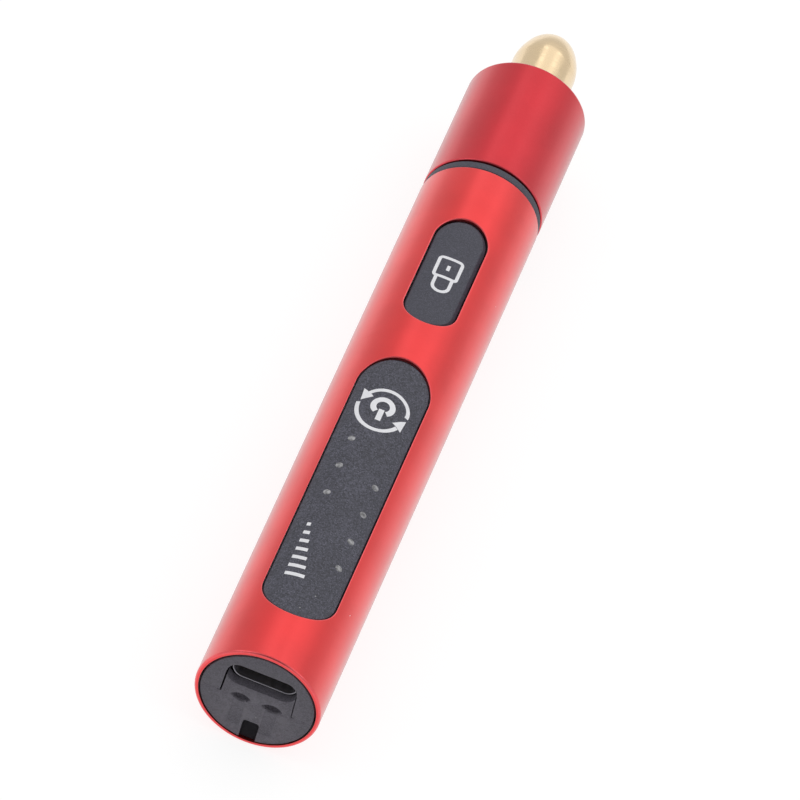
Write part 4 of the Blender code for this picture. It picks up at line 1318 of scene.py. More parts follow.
@dataclass
class Barrel(SubAssembly):
    """The long red tube with its two windows."""

    wall: float = 0.57 * MM
    rim_round: float = 0.35 * MM
    rim_inner_round: float = 0.05 * MM
    groove_round: float = 0.18 * MM
    window_round: float = 0.18 * MM
    panel_gap: float = 0.25 * MM
    panel_steps: int = 30
    key_catch: float = 0.70 * MM
    key_room: float = 0.20 * MM
    key_steps: int = 10
    margin: float = 3.2 * MM
    half_angle: float = math.radians(54)
    side_columns: int = 112
    shares: tuple[float, ...] = (0.0, 0.03, 0.12, 0.24, 0.36, 0.49, 0.62, 0.75, 0.88, 1.0)

    def windows(self) -> tuple[Stadium, Stadium]:
        """The outlines of both windows.

        Returns:
            The panel's window and the key's, a gap wider than the pieces in them.
        """
        panel = Stadium.over(self.pen.box("control_panel"), self.panel_steps, self.panel_gap)
        key = Stadium.over(self.pen.box("lock_key"), self.key_steps, self.panel_gap)
        length = key.length - 2 * self.key_catch + self.key_room
        middle = key.middle + Vector((0, self.key_room / 2))
        return panel, replace(key, length=length, middle=middle)

    def patch(self, shape: Shape, window: Stadium, rear: float, front: float) -> None:
        """Adds the skin round one window, outside and inside, and the window's wall.

        Args:
            shape: The tube's shape.
            window: The window's outline.
            rear: Station where the patch starts.
            front: Station where it ends.
        """
        outer, inner, rim = self.pen.radius, self.pen.radius - self.wall, self.window_round
        border = window.frame_loop(self.half_angle, rear, front)
        for radius, grow in ((outer, rim), (inner, 0.0)):
            hole = [(math.asin(x / radius), y) for x, y in window.loop(grow)]
            pairs = list(zip(hole, border))
            rows = []
            for t in self.shares:
                points = [(a + (c - a) * t, b + (d - b) * t) for (a, b), (c, d) in pairs]
                rows.append(wrapped(points, radius))
            shape.grid(rows)
        wall = [
            lifted(window.loop(rim * (1 - math.sin(t))), outer - rim * (1 - math.cos(t)))
            for t in QUARTER_TURNS
        ]
        shape.grid([*wall, lifted(window.loop(), inner)])

    def build(self) -> None:
        """Builds the tube: two rims, a skin round each window, and the plain side."""
        shape = Shape("barrel")
        radius, inner = self.pen.radius, self.pen.radius - self.wall
        low, high = self.pen.box("barrel_tube")
        panel, key = self.windows()
        start = panel.middle.y - panel.length / 2 - self.margin
        between = (panel.middle.y + panel.length / 2 + key.middle.y - key.length / 2) / 2
        end = key.middle.y + key.length / 2 + self.margin
        self.patch(shape, panel, start, between)
        self.patch(shape, key, between, end)
        count = panel.end_steps
        over = [self.half_angle * (1 - 2 * k / count) for k in range(count + 1)]
        turn = (math.tau - 2 * self.half_angle) / self.side_columns
        around = [self.half_angle + turn * k for k in range(self.side_columns + 1)]
        stations = panel.side_stations(start, between) + key.side_stations(between, end)[1:]
        for skin in (radius, inner):
            shape.grid([wrapped([(a, y) for a in around], skin) for y in stations], closed=False)
        ring = over[:-1] + [a - math.tau for a in reversed(around)][:-1]
        rear_rim = rounded([
            (inner, start, 0), (inner, low.y, self.rim_inner_round),
            (radius, low.y, self.rim_round), (radius, start, 0),
        ])
        front_rim = rounded([
            (radius, end, 0), (radius, high.y, self.groove_round),
            (inner, high.y, self.groove_round), (inner, end, 0),
        ])
        for rim in (rear_rim, front_rim):
            shape.grid([wrapped([(a, y) for a in ring], r) for r, y in rim])
        self.add(shape, "red_anodised", nodes=("barrel_tube",))


@dataclass
class FrontEnd(SubAssembly):
    """The front sleeve, the bearing carrier whose flange fills the groove, and its seal."""

    sleeve_wall: float = 0.90 * MM
    front_wall: float = 1.40 * MM
    sleeve_shift: float = 0.28 * MM
    nose_round: float = 0.45 * MM
    rear_round: float = 0.20 * MM
    groove_round: float = 0.12 * MM
    opening: float = 4.95 * MM
    carrier_gap: float = 0.25 * MM
    barrel_inner: float = 7.93 * MM
    flange_radius: float = 8.40 * MM
    flange_rear_gap: float = 0.13 * MM
    flange_front_gap: float = 0.08 * MM
    pocket_radius: float = 5.70 * MM
    pocket_depth: float = 4.20 * MM
    shoulder_radius: float = 4.50 * MM
    seal_section: float = 1.00 * MM
    seal_gap: float = 0.20 * MM

    @property
    def sleeve_inner(self) -> float:
        """The sleeve's inner radius."""
        return self.pen.radius - self.sleeve_wall

    def build(self) -> None:
        """Builds the three pieces."""
        self.build_sleeve()
        self.build_carrier()
        self.build_seal()

    def build_sleeve(self) -> None:
        """The second red tube, closed ahead except for the nut's opening."""
        low, high = self.pen.box("front_sleeve")
        rear, front = low.y + self.sleeve_shift, high.y + self.sleeve_shift
        shape = Shape("sleeve").turned(rounded([
            (self.sleeve_inner, rear, self.groove_round),
            (self.pen.radius, rear, self.rear_round),
            (self.pen.radius, front, self.nose_round),
            (self.opening, front, self.groove_round),
            (self.opening, front - self.front_wall, 0),
            (self.sleeve_inner, front - self.front_wall, 0),
        ]))
        self.add(shape, "crimson_anodised", nodes=("front_sleeve",), slot="red_anodised")

    def build_carrier(self) -> None:
        """The carrier: two spigots, the flange between them, and a pocket at each end."""
        low, high = self.pen.box("bearing_carrier")
        seal_low, seal_high = self.pen.box("seal_ring")
        rear_spigot = self.barrel_inner - self.carrier_gap
        front_spigot = self.sleeve_inner - self.carrier_gap
        flange_rear = self.pen.box("barrel_tube")[1].y + self.flange_rear_gap
        flange_front = self.pen.box("front_sleeve")[0].y - self.flange_front_gap
        floor = self.sleeve_inner - 2 * self.seal_gap - self.seal_section
        edge = self.groove_round
        shape = Shape("carrier").turned(rounded([
            (self.pocket_radius, low.y, edge),
            (rear_spigot, low.y, edge),
            (rear_spigot, flange_rear, 0),
            (self.flange_radius, flange_rear, edge),
            (self.flange_radius, flange_front, edge),
            (front_spigot, flange_front, 0),
            (front_spigot, seal_low.y - self.seal_gap, 0),
            (floor, seal_low.y - self.seal_gap, edge),
            (floor, seal_high.y + self.seal_gap, edge),
            (front_spigot, seal_high.y + self.seal_gap, 0),
            (front_spigot, high.y, edge),
            (self.pocket_radius, high.y, edge),
            (self.pocket_radius, high.y - self.pocket_depth, 0),
            (self.shoulder_radius, high.y - self.pocket_depth, edge),
            (self.shoulder_radius, low.y + self.pocket_depth, edge),
            (self.pocket_radius, low.y + self.pocket_depth, 0),
        ]))
        self.add(shape, "charcoal_plastic", nodes=("bearing_carrier",))

    def build_seal(self) -> None:
        """The round sealing ring on the carrier's front spigot."""
        low, high = self.pen.box("seal_ring")
        middle = (self.sleeve_inner - self.seal_gap - self.seal_section / 2, (low.y + high.y) / 2)
        shape = Shape("seal").turned(circle(middle, self.seal_section / 2, END_STEPS))
        self.add(shape, "rubber", nodes=("seal_ring",))


@dataclass(frozen=True)
class Arrow:
    """One printed arrow of the power mark: a bent shaft and a head, sizes in millimetres."""

    middle: Point2
    across: float
    along: float
    start: float
    end: float
    head: tuple[Point2, Point2, Point2]
    shaft_steps: int = 48
    head_steps: int = 8
    head_share: float = 0.97

    def path(self) -> list[Point2]:
        """The shaft's middle line.

        Returns:
            Points on part of an ellipse.
        """
        x, y = self.middle
        unit = arc((0, 0), 1, self.start, self.end, self.shaft_steps)
        return [((x + self.across * u) * MM, (y + self.along * v) * MM) for u, v in unit]

    def head_edges(self) -> Edges:
        """The two sides of the head.

        Returns:
            Pairs of points from the head's base to just short of its tip.
        """
        tip, *base = (Vector(point) * MM for point in self.head)
        shares = [self.head_share * k / self.head_steps for k in range(self.head_steps + 1)]
        return [tuple(tuple(corner.lerp(tip, share)) for corner in base) for share in shares]


ARROWS = (
    Arrow((-0.05, 48.85), 3.16, 2.59, -9, 147, ((-3.43, 48.8), (-3.57, 51.05), (-2.02, 49.83))),
    Arrow((-0.30, 48.45), 3.28, 4.42, 180, 327, ((3.27, 47.95), (1.65, 46.62), (3.10, 45.72))),
)


@dataclass
class ControlPanel(SubAssembly):
    """The curved panel with its printed power mark, level bars and seven light guides."""

    outer: float = 8.30 * MM
    inner: float = 7.93 * MM
    edge: float = 0.09 * MM
    grow: float = 0.07 * MM
    shift: float = -0.05 * MM
    front_inset: float = 0.25 * MM
    front_power: float = 0.91
    straight_steps: int = 150
    top_rows: int = 18
    first_row: float = 0.2
    ink: Ink = Ink()
    dish_middle: Point2 = (-0.25 * MM, 47.9 * MM)
    dish_radius: float = 3.1 * MM
    dish_depth: float = 0.17 * MM
    arrow_width: float = 0.53 * MM
    power_middle: Point2 = (-0.27 * MM, 48.55 * MM)
    power_radius: float = 1.30 * MM
    power_width: float = 0.78 * MM
    power_opening: float = 35.0
    power_steps: int = 60
    bar_width: float = 0.76 * MM
    bar_start: float = 0.55 * MM
    bar_end: float = 2.60 * MM
    guide_radius: float = 0.47 * MM
    guide_dome: float = 0.05 * MM
    guide_depth: float = 0.35 * MM
    guide_steps: int = 28
    guide_shares: tuple[float, ...] = (1.0, 0.92, 0.75, 0.5, 0.25, 0.0)
    left_row: tuple[float, ...] = (-2.34, 30.9, 36.13, 41.4)
    right_row: tuple[float, ...] = (3.14, 19.39, 24.5, 29.7, 34.9)
    bars_start: float = 24.6 * MM
    bars_base: float = -3.0 * MM
    bars_pitch: float = -1.55 * MM
    bars_width: float = 0.58 * MM
    bars_heights: tuple[float, ...] = (0.5, 0.85, 1.2, 1.55, 1.9, 2.25, 2.6)

    @property
    def skin(self) -> Skin:
        """The panel's face."""
        return Skin(self.outer, self.dish_middle, self.dish_radius, dish_depth=self.dish_depth)

    def build(self) -> None:
        """Builds the panel and everything on it."""
        self.build_plate()
        self.build_power_mark()
        self.build_level_bars()
        rows = (self.left_row, self.right_row)
        places = [(across * MM, y * MM) for across, *stations in rows for y in stations]
        for number, place in enumerate(places, start=1):
            self.build_guide(f"light_guide_{number}", place)

    def build_plate(self) -> None:
        """The curved plate, rounded along its edge, with a finger dish under the power mark."""
        low, high = self.pen.box("control_panel")
        middle = Vector((0, (low.y + high.y - self.front_inset) / 2 + self.shift))
        length = high.y - low.y - self.front_inset
        powers = (self.front_power, 1.0)
        outline = Stadium(length, high.x - low.x, middle, self.straight_steps, powers=powers)
        half, count, first = outline.width / 2, self.top_rows, self.first_row
        shares = [(k + first) / (count + first) for k in range(count + 1)]
        under = [lifted(outline.loop(-half * t), self.inner) for t in reversed(shares[::3])]
        rows = [*under, lifted(outline.loop(self.grow), self.inner)]
        rows += outline.crest(self.grow, self.outer, self.edge)
        rows += [self.skin.lift(outline.loop(-half * t)) for t in shares]
        shape = Shape("panel").grid(rows)
        self.add(shape, "panel_plastic", nodes=("control_panel",), slot="charcoal_plastic")

    def build_power_mark(self) -> None:
        """Two arrows that chase each other round the power sign, all printed."""
        shape = Shape("power_mark")
        for arrow in ARROWS:
            shape.ribbon(strip(arrow.path(), self.arrow_width), self.skin, self.ink)
            shape.ribbon(arrow.head_edges(), self.skin, self.ink.over)
        start, end = -90 + self.power_opening, 270 - self.power_opening
        ring = arc(self.power_middle, self.power_radius, start, end, self.power_steps)
        shape.ribbon(strip(ring, self.power_width), self.skin, self.ink)
        x, y = self.power_middle
        bar = paced([(x, y - self.bar_start), (x, y - self.bar_end)])
        shape.ribbon(strip(bar, self.bar_width), self.skin, self.ink)
        self.add(shape, "ink", slot="lamp")

    def build_level_bars(self) -> None:
        """Printed bars that grow towards the rear, a plain sign for the speed levels."""
        shape = Shape("level_bars")
        for number, height in enumerate(self.bars_heights):
            station = self.bars_start + number * self.bars_pitch
            bar = paced([(self.bars_base, station), (self.bars_base + height * MM, station)])
            shape.ribbon(strip(bar, self.bars_width), self.skin, self.ink)
        self.add(shape, "ink", slot="lamp")

    def build_guide(self, name: str, middle: Point2) -> None:
        """A small light guide that shows as a dot in the panel.

        Args:
            name: The piece's name.
            middle: Its place, as (across, station).
        """
        floor, top = self.outer - self.guide_depth, self.outer + self.ink.rise
        spots = [(0, floor), (1, floor)]
        spots += [(t, top + self.guide_dome * (1 - t ** 2)) for t in self.guide_shares]
        shape = Shape(name).grid([
            lifted(circle(middle, self.guide_radius * share, self.guide_steps), radius)
            for share, radius in spots
        ])
        self.add(shape, "lamp")


@dataclass
class LockKey(SubAssembly):
    """The spindle-lock key: a pad on a lower ledge, two catches, the pin and a padlock sign."""

    pad: float = 8.25 * MM
    ledge: float = 8.12 * MM
    edge: float = 0.10 * MM
    straight_steps: int = 30
    pad_shift: Point2 = (-0.16 * MM, -0.10 * MM)
    pad_inset: float = 0.20 * MM
    pad_stretch: float = 0.36 * MM
    ledge_grow: float = -0.03 * MM
    base_grow: float = 0.10 * MM
    end_power: float = 0.94
    catch_length: float = 0.70 * MM
    catch_width: float = 3.0 * MM
    catch_top: float = 7.45 * MM
    bottom: float = 6.65 * MM
    pin_radius: float = 0.30 * MM
    pin_station: float = 82.55 * MM
    ink: Ink = Ink()
    sign_middle: Point2 = (0.0, 74.6 * MM)
    stroke: float = 0.46 * MM
    body_half_width: float = 1.60 * MM
    body_length: float = 3.6 * MM
    body_corner: float = 0.42 * MM
    shackle_radius: float = 1.14 * MM
    shackle_leg: float = 1.62 * MM
    shackle_steps: int = 24
    hole_start: float = 1.32 * MM
    hole_end: float = 2.28 * MM
    shares: tuple[float, ...] = (0.08, 0.25, 0.45, 0.65, 0.85, 1.0)

    def build(self) -> None:
        """Builds the key and its sign."""
        self.build_key()
        self.build_sign()

    def build_key(self) -> None:
        """The key itself, from its flat underside to its curved pad, with its catches and pin."""
        low, high = self.pen.box("lock_key")
        length, width = high.y - low.y - 2 * self.catch_length, high.x - low.x
        base = replace(
            Stadium.over((low, high), self.straight_steps, self.base_grow),
            length=length + 2 * self.base_grow,
        )
        top = replace(
            base,
            middle=base.middle + Vector(self.pad_shift),
            length=length - 2 * self.pad_inset + self.pad_stretch,
            width=width - 2 * self.pad_inset,
            powers=(self.end_power, self.end_power),
        )
        half = base.width / 2
        rows = [level(base.loop(-half * t), self.bottom) for t in reversed(self.shares)]
        rows.append(level(base.loop(), self.bottom))
        rows.append(lifted(base.loop(), self.ledge - self.edge))
        rows.append(lifted(base.loop(self.ledge_grow), self.ledge - self.edge / 2))
        rows.append(lifted(base.loop(self.ledge_grow / 2), self.ledge))
        rows.append(lifted(top.loop(), self.ledge + self.edge / 4))
        rows += top.crest(0, self.pad, self.edge)
        rows += [lifted(top.loop(-top.width / 2 * t), self.pad) for t in self.shares]
        key = Shape("key").grid(rows).to_object(self.pen)
        reach = self.catch_width / 2
        catches = Shape("catches")
        for near, far in ((low.y, low.y + length / 2), (high.y - length / 2, high.y)):
            catches.box((-reach, near, self.bottom), (reach, far, self.catch_top), self.edge)
        pin_loop = circle((0, self.pin_station), self.pin_radius, SMALL_STEPS)
        pin = Shape("pin").prism(pin_loop, low.z, (self.bottom + self.ledge) / 2)
        tools = [tool.to_object(self.pen) for tool in (catches, pin)]
        key = combined(key, tools, Joining.UNION)
        self.add(key, "charcoal_plastic", body="lock_key", nodes=("lock_key",))

    def build_sign(self) -> None:
        """A plain padlock drawn in even strokes, with its shackle to the rear."""
        x, y = self.sign_middle
        half, front, corner = self.body_half_width, y + self.body_length, self.body_corner
        corners = ((x - half, y), (x - half, front), (x + half, front), (x + half, y))
        body = rounded([(*point, corner) for point in corners], CORNER_STEPS)
        middle = (x, y - self.shackle_leg)
        bend = arc(middle, self.shackle_radius, 0, -180, self.shackle_steps)
        shackle = [(bend[0][0], y), *bend, (bend[-1][0], y)]
        hole = [(x, y + self.hole_start), (x, y + self.hole_end)]
        skin, shape = Skin(self.pad), Shape("lock_sign")
        outline = strip(paced(body, closed=True), self.stroke, closed=True)
        shape.ribbon(outline, skin, self.ink, closed=True)
        for path in (shackle, hole):
            shape.ribbon(strip(paced(path), self.stroke), skin, self.ink.over)
        self.add(shape, "ink", body="lock_key", slot="lamp")


class Half(Enum):
    """A half of the chassis, by the side of the seam that it lies on."""

    UPPER = 1
    LOWER = -1


@dataclass
class EndFace(SubAssembly):
    """The two chassis halves, whose rear ends make the end face round the charging slot."""

    radius: float = 7.68 * MM
    lip: float = -0.03 * MM
    shift: Point2 = (0.0, -0.14 * MM)
    wall: float = 1.15 * MM
    end_wall: float = 1.40 * MM
    edge: float = 0.05 * MM
    seam: float = -0.78 * MM
    seam_gap: float = 0.025 * MM
    tick_gap: float = 0.15 * MM
    left_tick: float = 5.38 * MM
    right_tick: float = 5.15 * MM
    left_seam: Point2 = (4.80 * MM, 4.90 * MM)
    left_gap: float = 0.20 * MM
    right_seam: Point2 = (4.68 * MM, 4.80 * MM)
    right_gap: float = 0.09 * MM
    slot_length: float = 9.52 * MM
    slot_height: float = 3.50 * MM
    slot_across: float = -0.08 * MM
    socket: float = 3.20 * MM
    keyway_left: float = -0.92 * MM
    keyway_right: float = 1.30 * MM
    keyway_top: float = -4.42 * MM
    keyway_corner: float = 0.45 * MM
    foot_steps: int = 50
    # Painted shade: a near-black plate set a little way into the keyway stands in for the shade
    # inside it.
    shadow_tab_recess: float = 0.35 * MM
    shadow_tab_thickness: float = 0.60 * MM
    shadow_tab_foot: float = -7.80 * MM
    shadow_tab_gap: float = 0.03 * MM
    scoop_places: Point2 = (-2.15 * MM, 2.18 * MM)
    scoop_half_width: float = 1.45 * MM
    scoop_level: float = -0.67 * MM
    scoop_rise: float = 0.72 * MM
    scoop_fall: float = 0.96 * MM
    scoop_depth: float = 1.25 * MM
    scoop_steps: int = 24
    scoop_cuts: tuple[tuple[float, float, float], ...] = (
        (-0.1, 1.0, 0.0), (0.0, 1.0, 0.0), (0.5, 1.0, 0.0), (0.85, 0.85, 0.05), (1.0, 0.6, 0.1),
    )
    channel_half_width: float = 0.92 * MM
    channel_top: float = -0.9 * MM
    channel_foot: float = -5.9 * MM
    channel_depth: float = 0.20 * MM
    channel_runout: float = 0.02 * MM
    channel_slope: float = 0.10 * MM
    rib_radius: float = 5.25 * MM
    rib_width: float = 1.2 * MM
    rib_inset: float = 1.8 * MM
    shelf_top: float = 4.6 * MM
    shelf_thickness: float = 0.5 * MM
    shelf_length: float = 5.0 * MM
    rail_thickness: float = 0.7 * MM
    rail_inner: float = 3.2 * MM
    rail_rear: float = 14.5 * MM
    rail_front: float = 54.5 * MM
    opening_inset: float = 0.55 * MM
    panel_opening_steps: int = 20
    key_opening_grow: float = 0.38 * MM
    key_opening_steps: int = 12

    @property
    def rear(self) -> float:
        """Station of the end face."""
        return self.pen.box("chassis_lower")[0].y

    @property
    def wall_front(self) -> float:
        """Station of the end wall's inner face."""
        return self.rear + self.end_wall

    @property
    def inner(self) -> float:
        """Inner radius of the half tubes."""
        return self.radius - self.wall

    def build(self) -> None:
        """Builds both halves and the near-black piece that paints the keyway's shade."""
        self.build_upper()
        self.build_lower()
        self.build_shadow_tab()

    def seam_angle(self, radius: float, height: float, middle: Point2 = (0, 0)) -> float:
        """Angle above the right-hand side at which a circle reaches a height, in degrees."""
        return math.degrees(math.asin((height - middle[1]) / radius))

    def wall_outline(self, half: Half) -> list[Point2]:
        """One half of the end wall, as (across, up) points.

        Args:
            half: Which half; the lower one has a tongue up to the slot, and the keyway.

        Returns:
            The points from the seam's right end round the rim and back along the seam.
        """
        side = half.value
        radius, end_round = self.radius + self.lip, self.slot_height / 2
        seam = self.seam + side * self.seam_gap / 2
        tick = self.seam + side * self.tick_gap / 2
        start = self.seam_angle(radius, seam, self.shift)
        reach = (self.slot_length - self.slot_height) / 2
        left, right = self.slot_across - reach, self.slot_across + reach
        left_top, left_foot = (-spot - side * self.left_gap / 2 for spot in self.left_seam)
        right_top, right_foot = (spot + side * self.right_gap / 2 for spot in self.right_seam)
        if half is Half.UPPER:
            rim = arc(self.shift, radius, start, 180 - start, HALF_STEPS)
            slot = [
                (left_top, self.socket),
                *arc((left, self.socket), end_round, 180, 90, END_STEPS),
                *arc((right, self.socket), end_round, 90, 0, END_STEPS),
                (right_top, self.socket),
            ]
        else:
            right_key, left_key = (
                -math.degrees(math.acos((x - self.shift[0]) / radius))
                for x in (self.keyway_right, self.keyway_left)
            )
            rim = [
                *arc(self.shift, radius, start, right_key, self.foot_steps),
                *self.keyway(-radius)[1:-1],
                *arc(self.shift, radius, left_key, -180 - start, self.foot_steps),
            ]
            left_meet = math.degrees(math.acos((left - left_top) / end_round))
            right_meet = math.degrees(math.acos((right_top - right) / end_round))
            slot = [
                *arc((left, self.socket), end_round, 180 + left_meet, 270, END_STEPS),
                *arc((right, self.socket), end_round, 270, 360 - right_meet, END_STEPS),
            ]
        return [
            *rim,
            (-self.left_tick, seam), (-self.left_tick, tick), (left_foot, tick),
            *slot,
            (right_foot, tick), (self.right_tick, tick), (self.right_tick, seam),
        ]

    def keyway(self, foot: float, inset: float = 0.0) -> list[Point2]:
        """The keyway's outline, open at its foot.

        Args:
            foot: Height of the two foot points.
            inset: How far inside the keyway the outline runs.

        Returns:
            The points from the right foot over the rounded top to the left foot.
        """
        left, right = self.keyway_left + inset, self.keyway_right - inset
        top, corner = self.keyway_top - inset, self.keyway_corner
        corners = [(right, foot, 0), (right, top, corner), (left, top, corner), (left, foot, 0)]
        return rounded(corners, CORNER_STEPS)

    def half_ring(self, inner: float, half: Half) -> list[Point2]:
        """Half of a ring on one side of the seam.

        Args:
            inner: The ring's inner radius.
            half: Which half.

        Returns:
            Its outline, as (across, up) points.
        """
        height = self.seam + half.value * self.seam_gap
        out, into = self.seam_angle(self.radius, height), self.seam_angle(inner, height)
        turn = 180 * half.value
        return [
            *arc((0, 0), self.radius, out, turn - out, HALF_STEPS),
            *arc((0, 0), inner, turn - into, into, HALF_STEPS),
        ]

    def half_shell(self, name: str, half: Half) -> list[Thing]:
        """The long half tube behind the end wall, with the two ribs that hold the motor.

        Args:
            name: What the parts' names start with.
            half: Which half.

        Returns:
            The half tube and the ribs.
        """
        low, high = self.pen.box("motor_can")
        front = self.pen.box("chassis_lower")[1].y
        spans = [(self.inner, self.wall_front - 2 * self.edge, front)]
        for start in (low.y + self.rib_inset, high.y - self.rib_inset - self.rib_width):
            spans.append((self.rib_radius, start, start + self.rib_width))
        return [
            plate(f"{name}_{k}", self.pen, self.half_ring(inner, half), start, end, self.edge / 2)
            for k, (inner, start, end) in enumerate(spans)
        ]

    def end_plate(self, name: str, half: Half) -> Thing:
        """One half of the end wall, before anything is joined to it."""
        outline = self.wall_outline(half)
        return plate(name, self.pen, outline, self.rear, self.wall_front, self.edge)

    def build_upper(self) -> None:
        """The upper half with its rails, its spring shelf and the openings above them."""
        wall = self.end_plate("chassis_top", Half.UPPER)
        board, spring = self.pen.box("main_board")[0].z, self.pen.box("lock_spring")
        fittings = Shape("fittings")
        top = board - self.opening_inset / 2
        bottom = top - self.rail_thickness
        for side in (-1, 1):
            ends = (side * self.rail_inner, side * math.sqrt(self.inner ** 2 - top ** 2))
            low, high = (min(ends), self.rail_rear, bottom), (max(ends), self.rail_front, top)
            fittings.box(low, high)
        half, reach = math.sqrt(self.inner ** 2 - self.shelf_top ** 2), self.shelf_length / 2
        station = (spring[0].y + spring[1].y) / 2
        under = self.shelf_top - self.shelf_thickness
        fittings.box((-half, station - reach, under), (half, station + reach, self.shelf_top))
        shell = self.half_shell("top", Half.UPPER)
        body = combined(wall, [*shell, fittings.to_object(self.pen)], Joining.UNION)
        above = self.pen.radius + self.wall
        panel = Stadium.over(self.pen.box("control_panel"), self.panel_opening_steps)
        key = Stadium.over(self.pen.box("lock_key"), self.key_opening_steps)
        openings = Shape("openings")
        openings.prism(panel.loop(-self.opening_inset), board, above)
        openings.prism(key.loop(self.key_opening_grow), self.shelf_top, above)
        body = combined(body, [openings.to_object(self.pen)], Joining.DIFFERENCE)
        self.add(body, "end_plastic", nodes=("chassis_upper",), slot="charcoal_plastic")

    def build_lower(self) -> None:
        """The lower half with its tongue, its two scoops and the keyway."""
        wall = self.end_plate("chassis_bottom", Half.LOWER)
        tools = []
        for number, across in enumerate(self.scoop_places):
            tools.append(self.channel(f"channel_{number}", across))
            tools.append(self.scoop(f"scoop_{number}", across))
        wall = combined(wall, tools, Joining.DIFFERENCE)
        body = combined(wall, self.half_shell("bottom", Half.LOWER), Joining.UNION)
        self.add(body, "end_plastic", nodes=("chassis_lower",), slot="charcoal_plastic")

    def build_shadow_tab(self) -> None:
        """A near-black plate a little way into the keyway: painted shade where the keyway is only
        dark inside.
        """
        rear = self.rear + self.shadow_tab_recess
        outline = self.keyway(self.shadow_tab_foot, self.shadow_tab_gap)
        tab = plate("keyway_shadow_tab", self.pen, outline, rear, rear + self.shadow_tab_thickness, self.edge)
        self.add(tab, "shadow_black_plastic", slot="black_plastic")

    def scoop(self, name: str, across: float) -> Thing:
        """A cutter for one lens-shaped scoop, which narrows and rises as it goes in.

        Args:
            name: The cutter's name.
            across: Where its middle lies across the pen.

        Returns:
            The cutter.
        """
        spots = [2 * k / self.scoop_steps - 1 for k in range(self.scoop_steps)]
        rows = []
        for depth, size, lift in self.scoop_cuts:
            height, width = self.scoop_level + lift * self.scoop_rise, self.scoop_half_width * size
            upper = [(-s * width, height + self.scoop_rise * size * (1 - s * s)) for s in spots]
            lower = [(s * width, height - self.scoop_fall * size * (1 - s * s)) for s in spots]
            station = self.rear + depth * self.scoop_depth
            rows.append([Vector((across + x, station, z)) for x, z in upper + lower])
        return Shape(name).solid(rows).to_object(self.pen)

    def channel(self, name: str, across: float) -> Thing:
        """A cutter for the shallow channel below a scoop, which runs out towards the rim.

        Args:
            name: The cutter's name.
            across: Where its middle lies across the pen.

        Returns:
            The cutter.
        """
        wide, near = self.channel_half_width, self.rear - self.channel_depth
        narrow = wide - self.channel_slope
        rows = []
        for height, depth in (
            (self.channel_top, self.channel_depth),
            (self.channel_foot, self.channel_runout),
        ):
            spots = [(-wide, near), (-wide, self.rear), (-narrow, self.rear + depth)]
            spots += [(-x, station) for x, station in reversed(spots)]
            rows.append([Vector((across + x, station, height)) for x, station in spots])
        return Shape(name).solid(rows).to_object(self.pen)


@dataclass
class ChargingSocket(SubAssembly):
    """The stamped socket shell, its contact tongue and the contacts on it."""

    wall: float = 0.20 * MM
    straight_steps: int = 24
    mouth_reach: float = 0.35 * MM
    tongue_edge: float = 0.12 * MM
    contacts: int = 12
    contact_pitch: float = 0.50 * MM
    contact_width: float = 0.27 * MM
    contact_setback: float = 0.35 * MM
    contact_rise: float = 0.02 * MM

    def build(self) -> None:
        """Builds the shell, the tongue and the contacts."""
        self.build_shell()
        self.build_tongue()

    def build_shell(self) -> None:
        """The shell: a flat tube with rounded sides, a rolled mouth and a closed front."""
        low, high = self.pen.box("usb_shell")
        height = (low.z + high.z) / 2
        size = (high.x - low.x, high.z - low.z)
        outline = Stadium(*size, Vector((0, 0)), self.straight_steps)
        half, lip = outline.width / 2, self.wall / 2
        mouth, back = low.y - self.mouth_reach, high.y - self.wall
        spots = [(-half, high.y), (-half / 2, high.y), (-lip, high.y), (0, high.y - lip)]
        for k in range(2 * ARC_STEPS + 1):
            turn = math.pi * k / (2 * ARC_STEPS)
            spots.append((-lip + lip * math.cos(turn), mouth + lip * (1 - math.sin(turn))))
        spots += [(-self.wall, back - lip), (-self.wall - lip / 2, back)]
        spots += [(-half / 2 - lip, back), (-half, back)]
        rows = [upended(outline.loop(grow), station, height) for grow, station in spots]
        shape = Shape("socket_shell").grid(rows)
        self.add(shape, "socket_steel", nodes=("usb_shell",), slot="steel")

    def build_tongue(self) -> None:
        """The tongue and the contacts on both its faces."""
        low, high = self.pen.box("usb_tongue")
        tongue = Shape("socket_tongue").box(low, high, self.tongue_edge)
        self.add(tongue, "black_plastic", nodes=("usb_tongue",))
        pads = Shape("socket_contacts")
        half, rise = self.contact_width / 2, self.contact_rise
        near, far = low.y + self.contact_setback, high.y - self.contact_setback
        for k in range(self.contacts):
            x = (k - (self.contacts - 1) / 2) * self.contact_pitch
            for face in (high.z, low.z):
                pads.box((x - half, near, face - rise), (x + half, far, face + rise))
        self.add(pads, "gold", slot="brass")


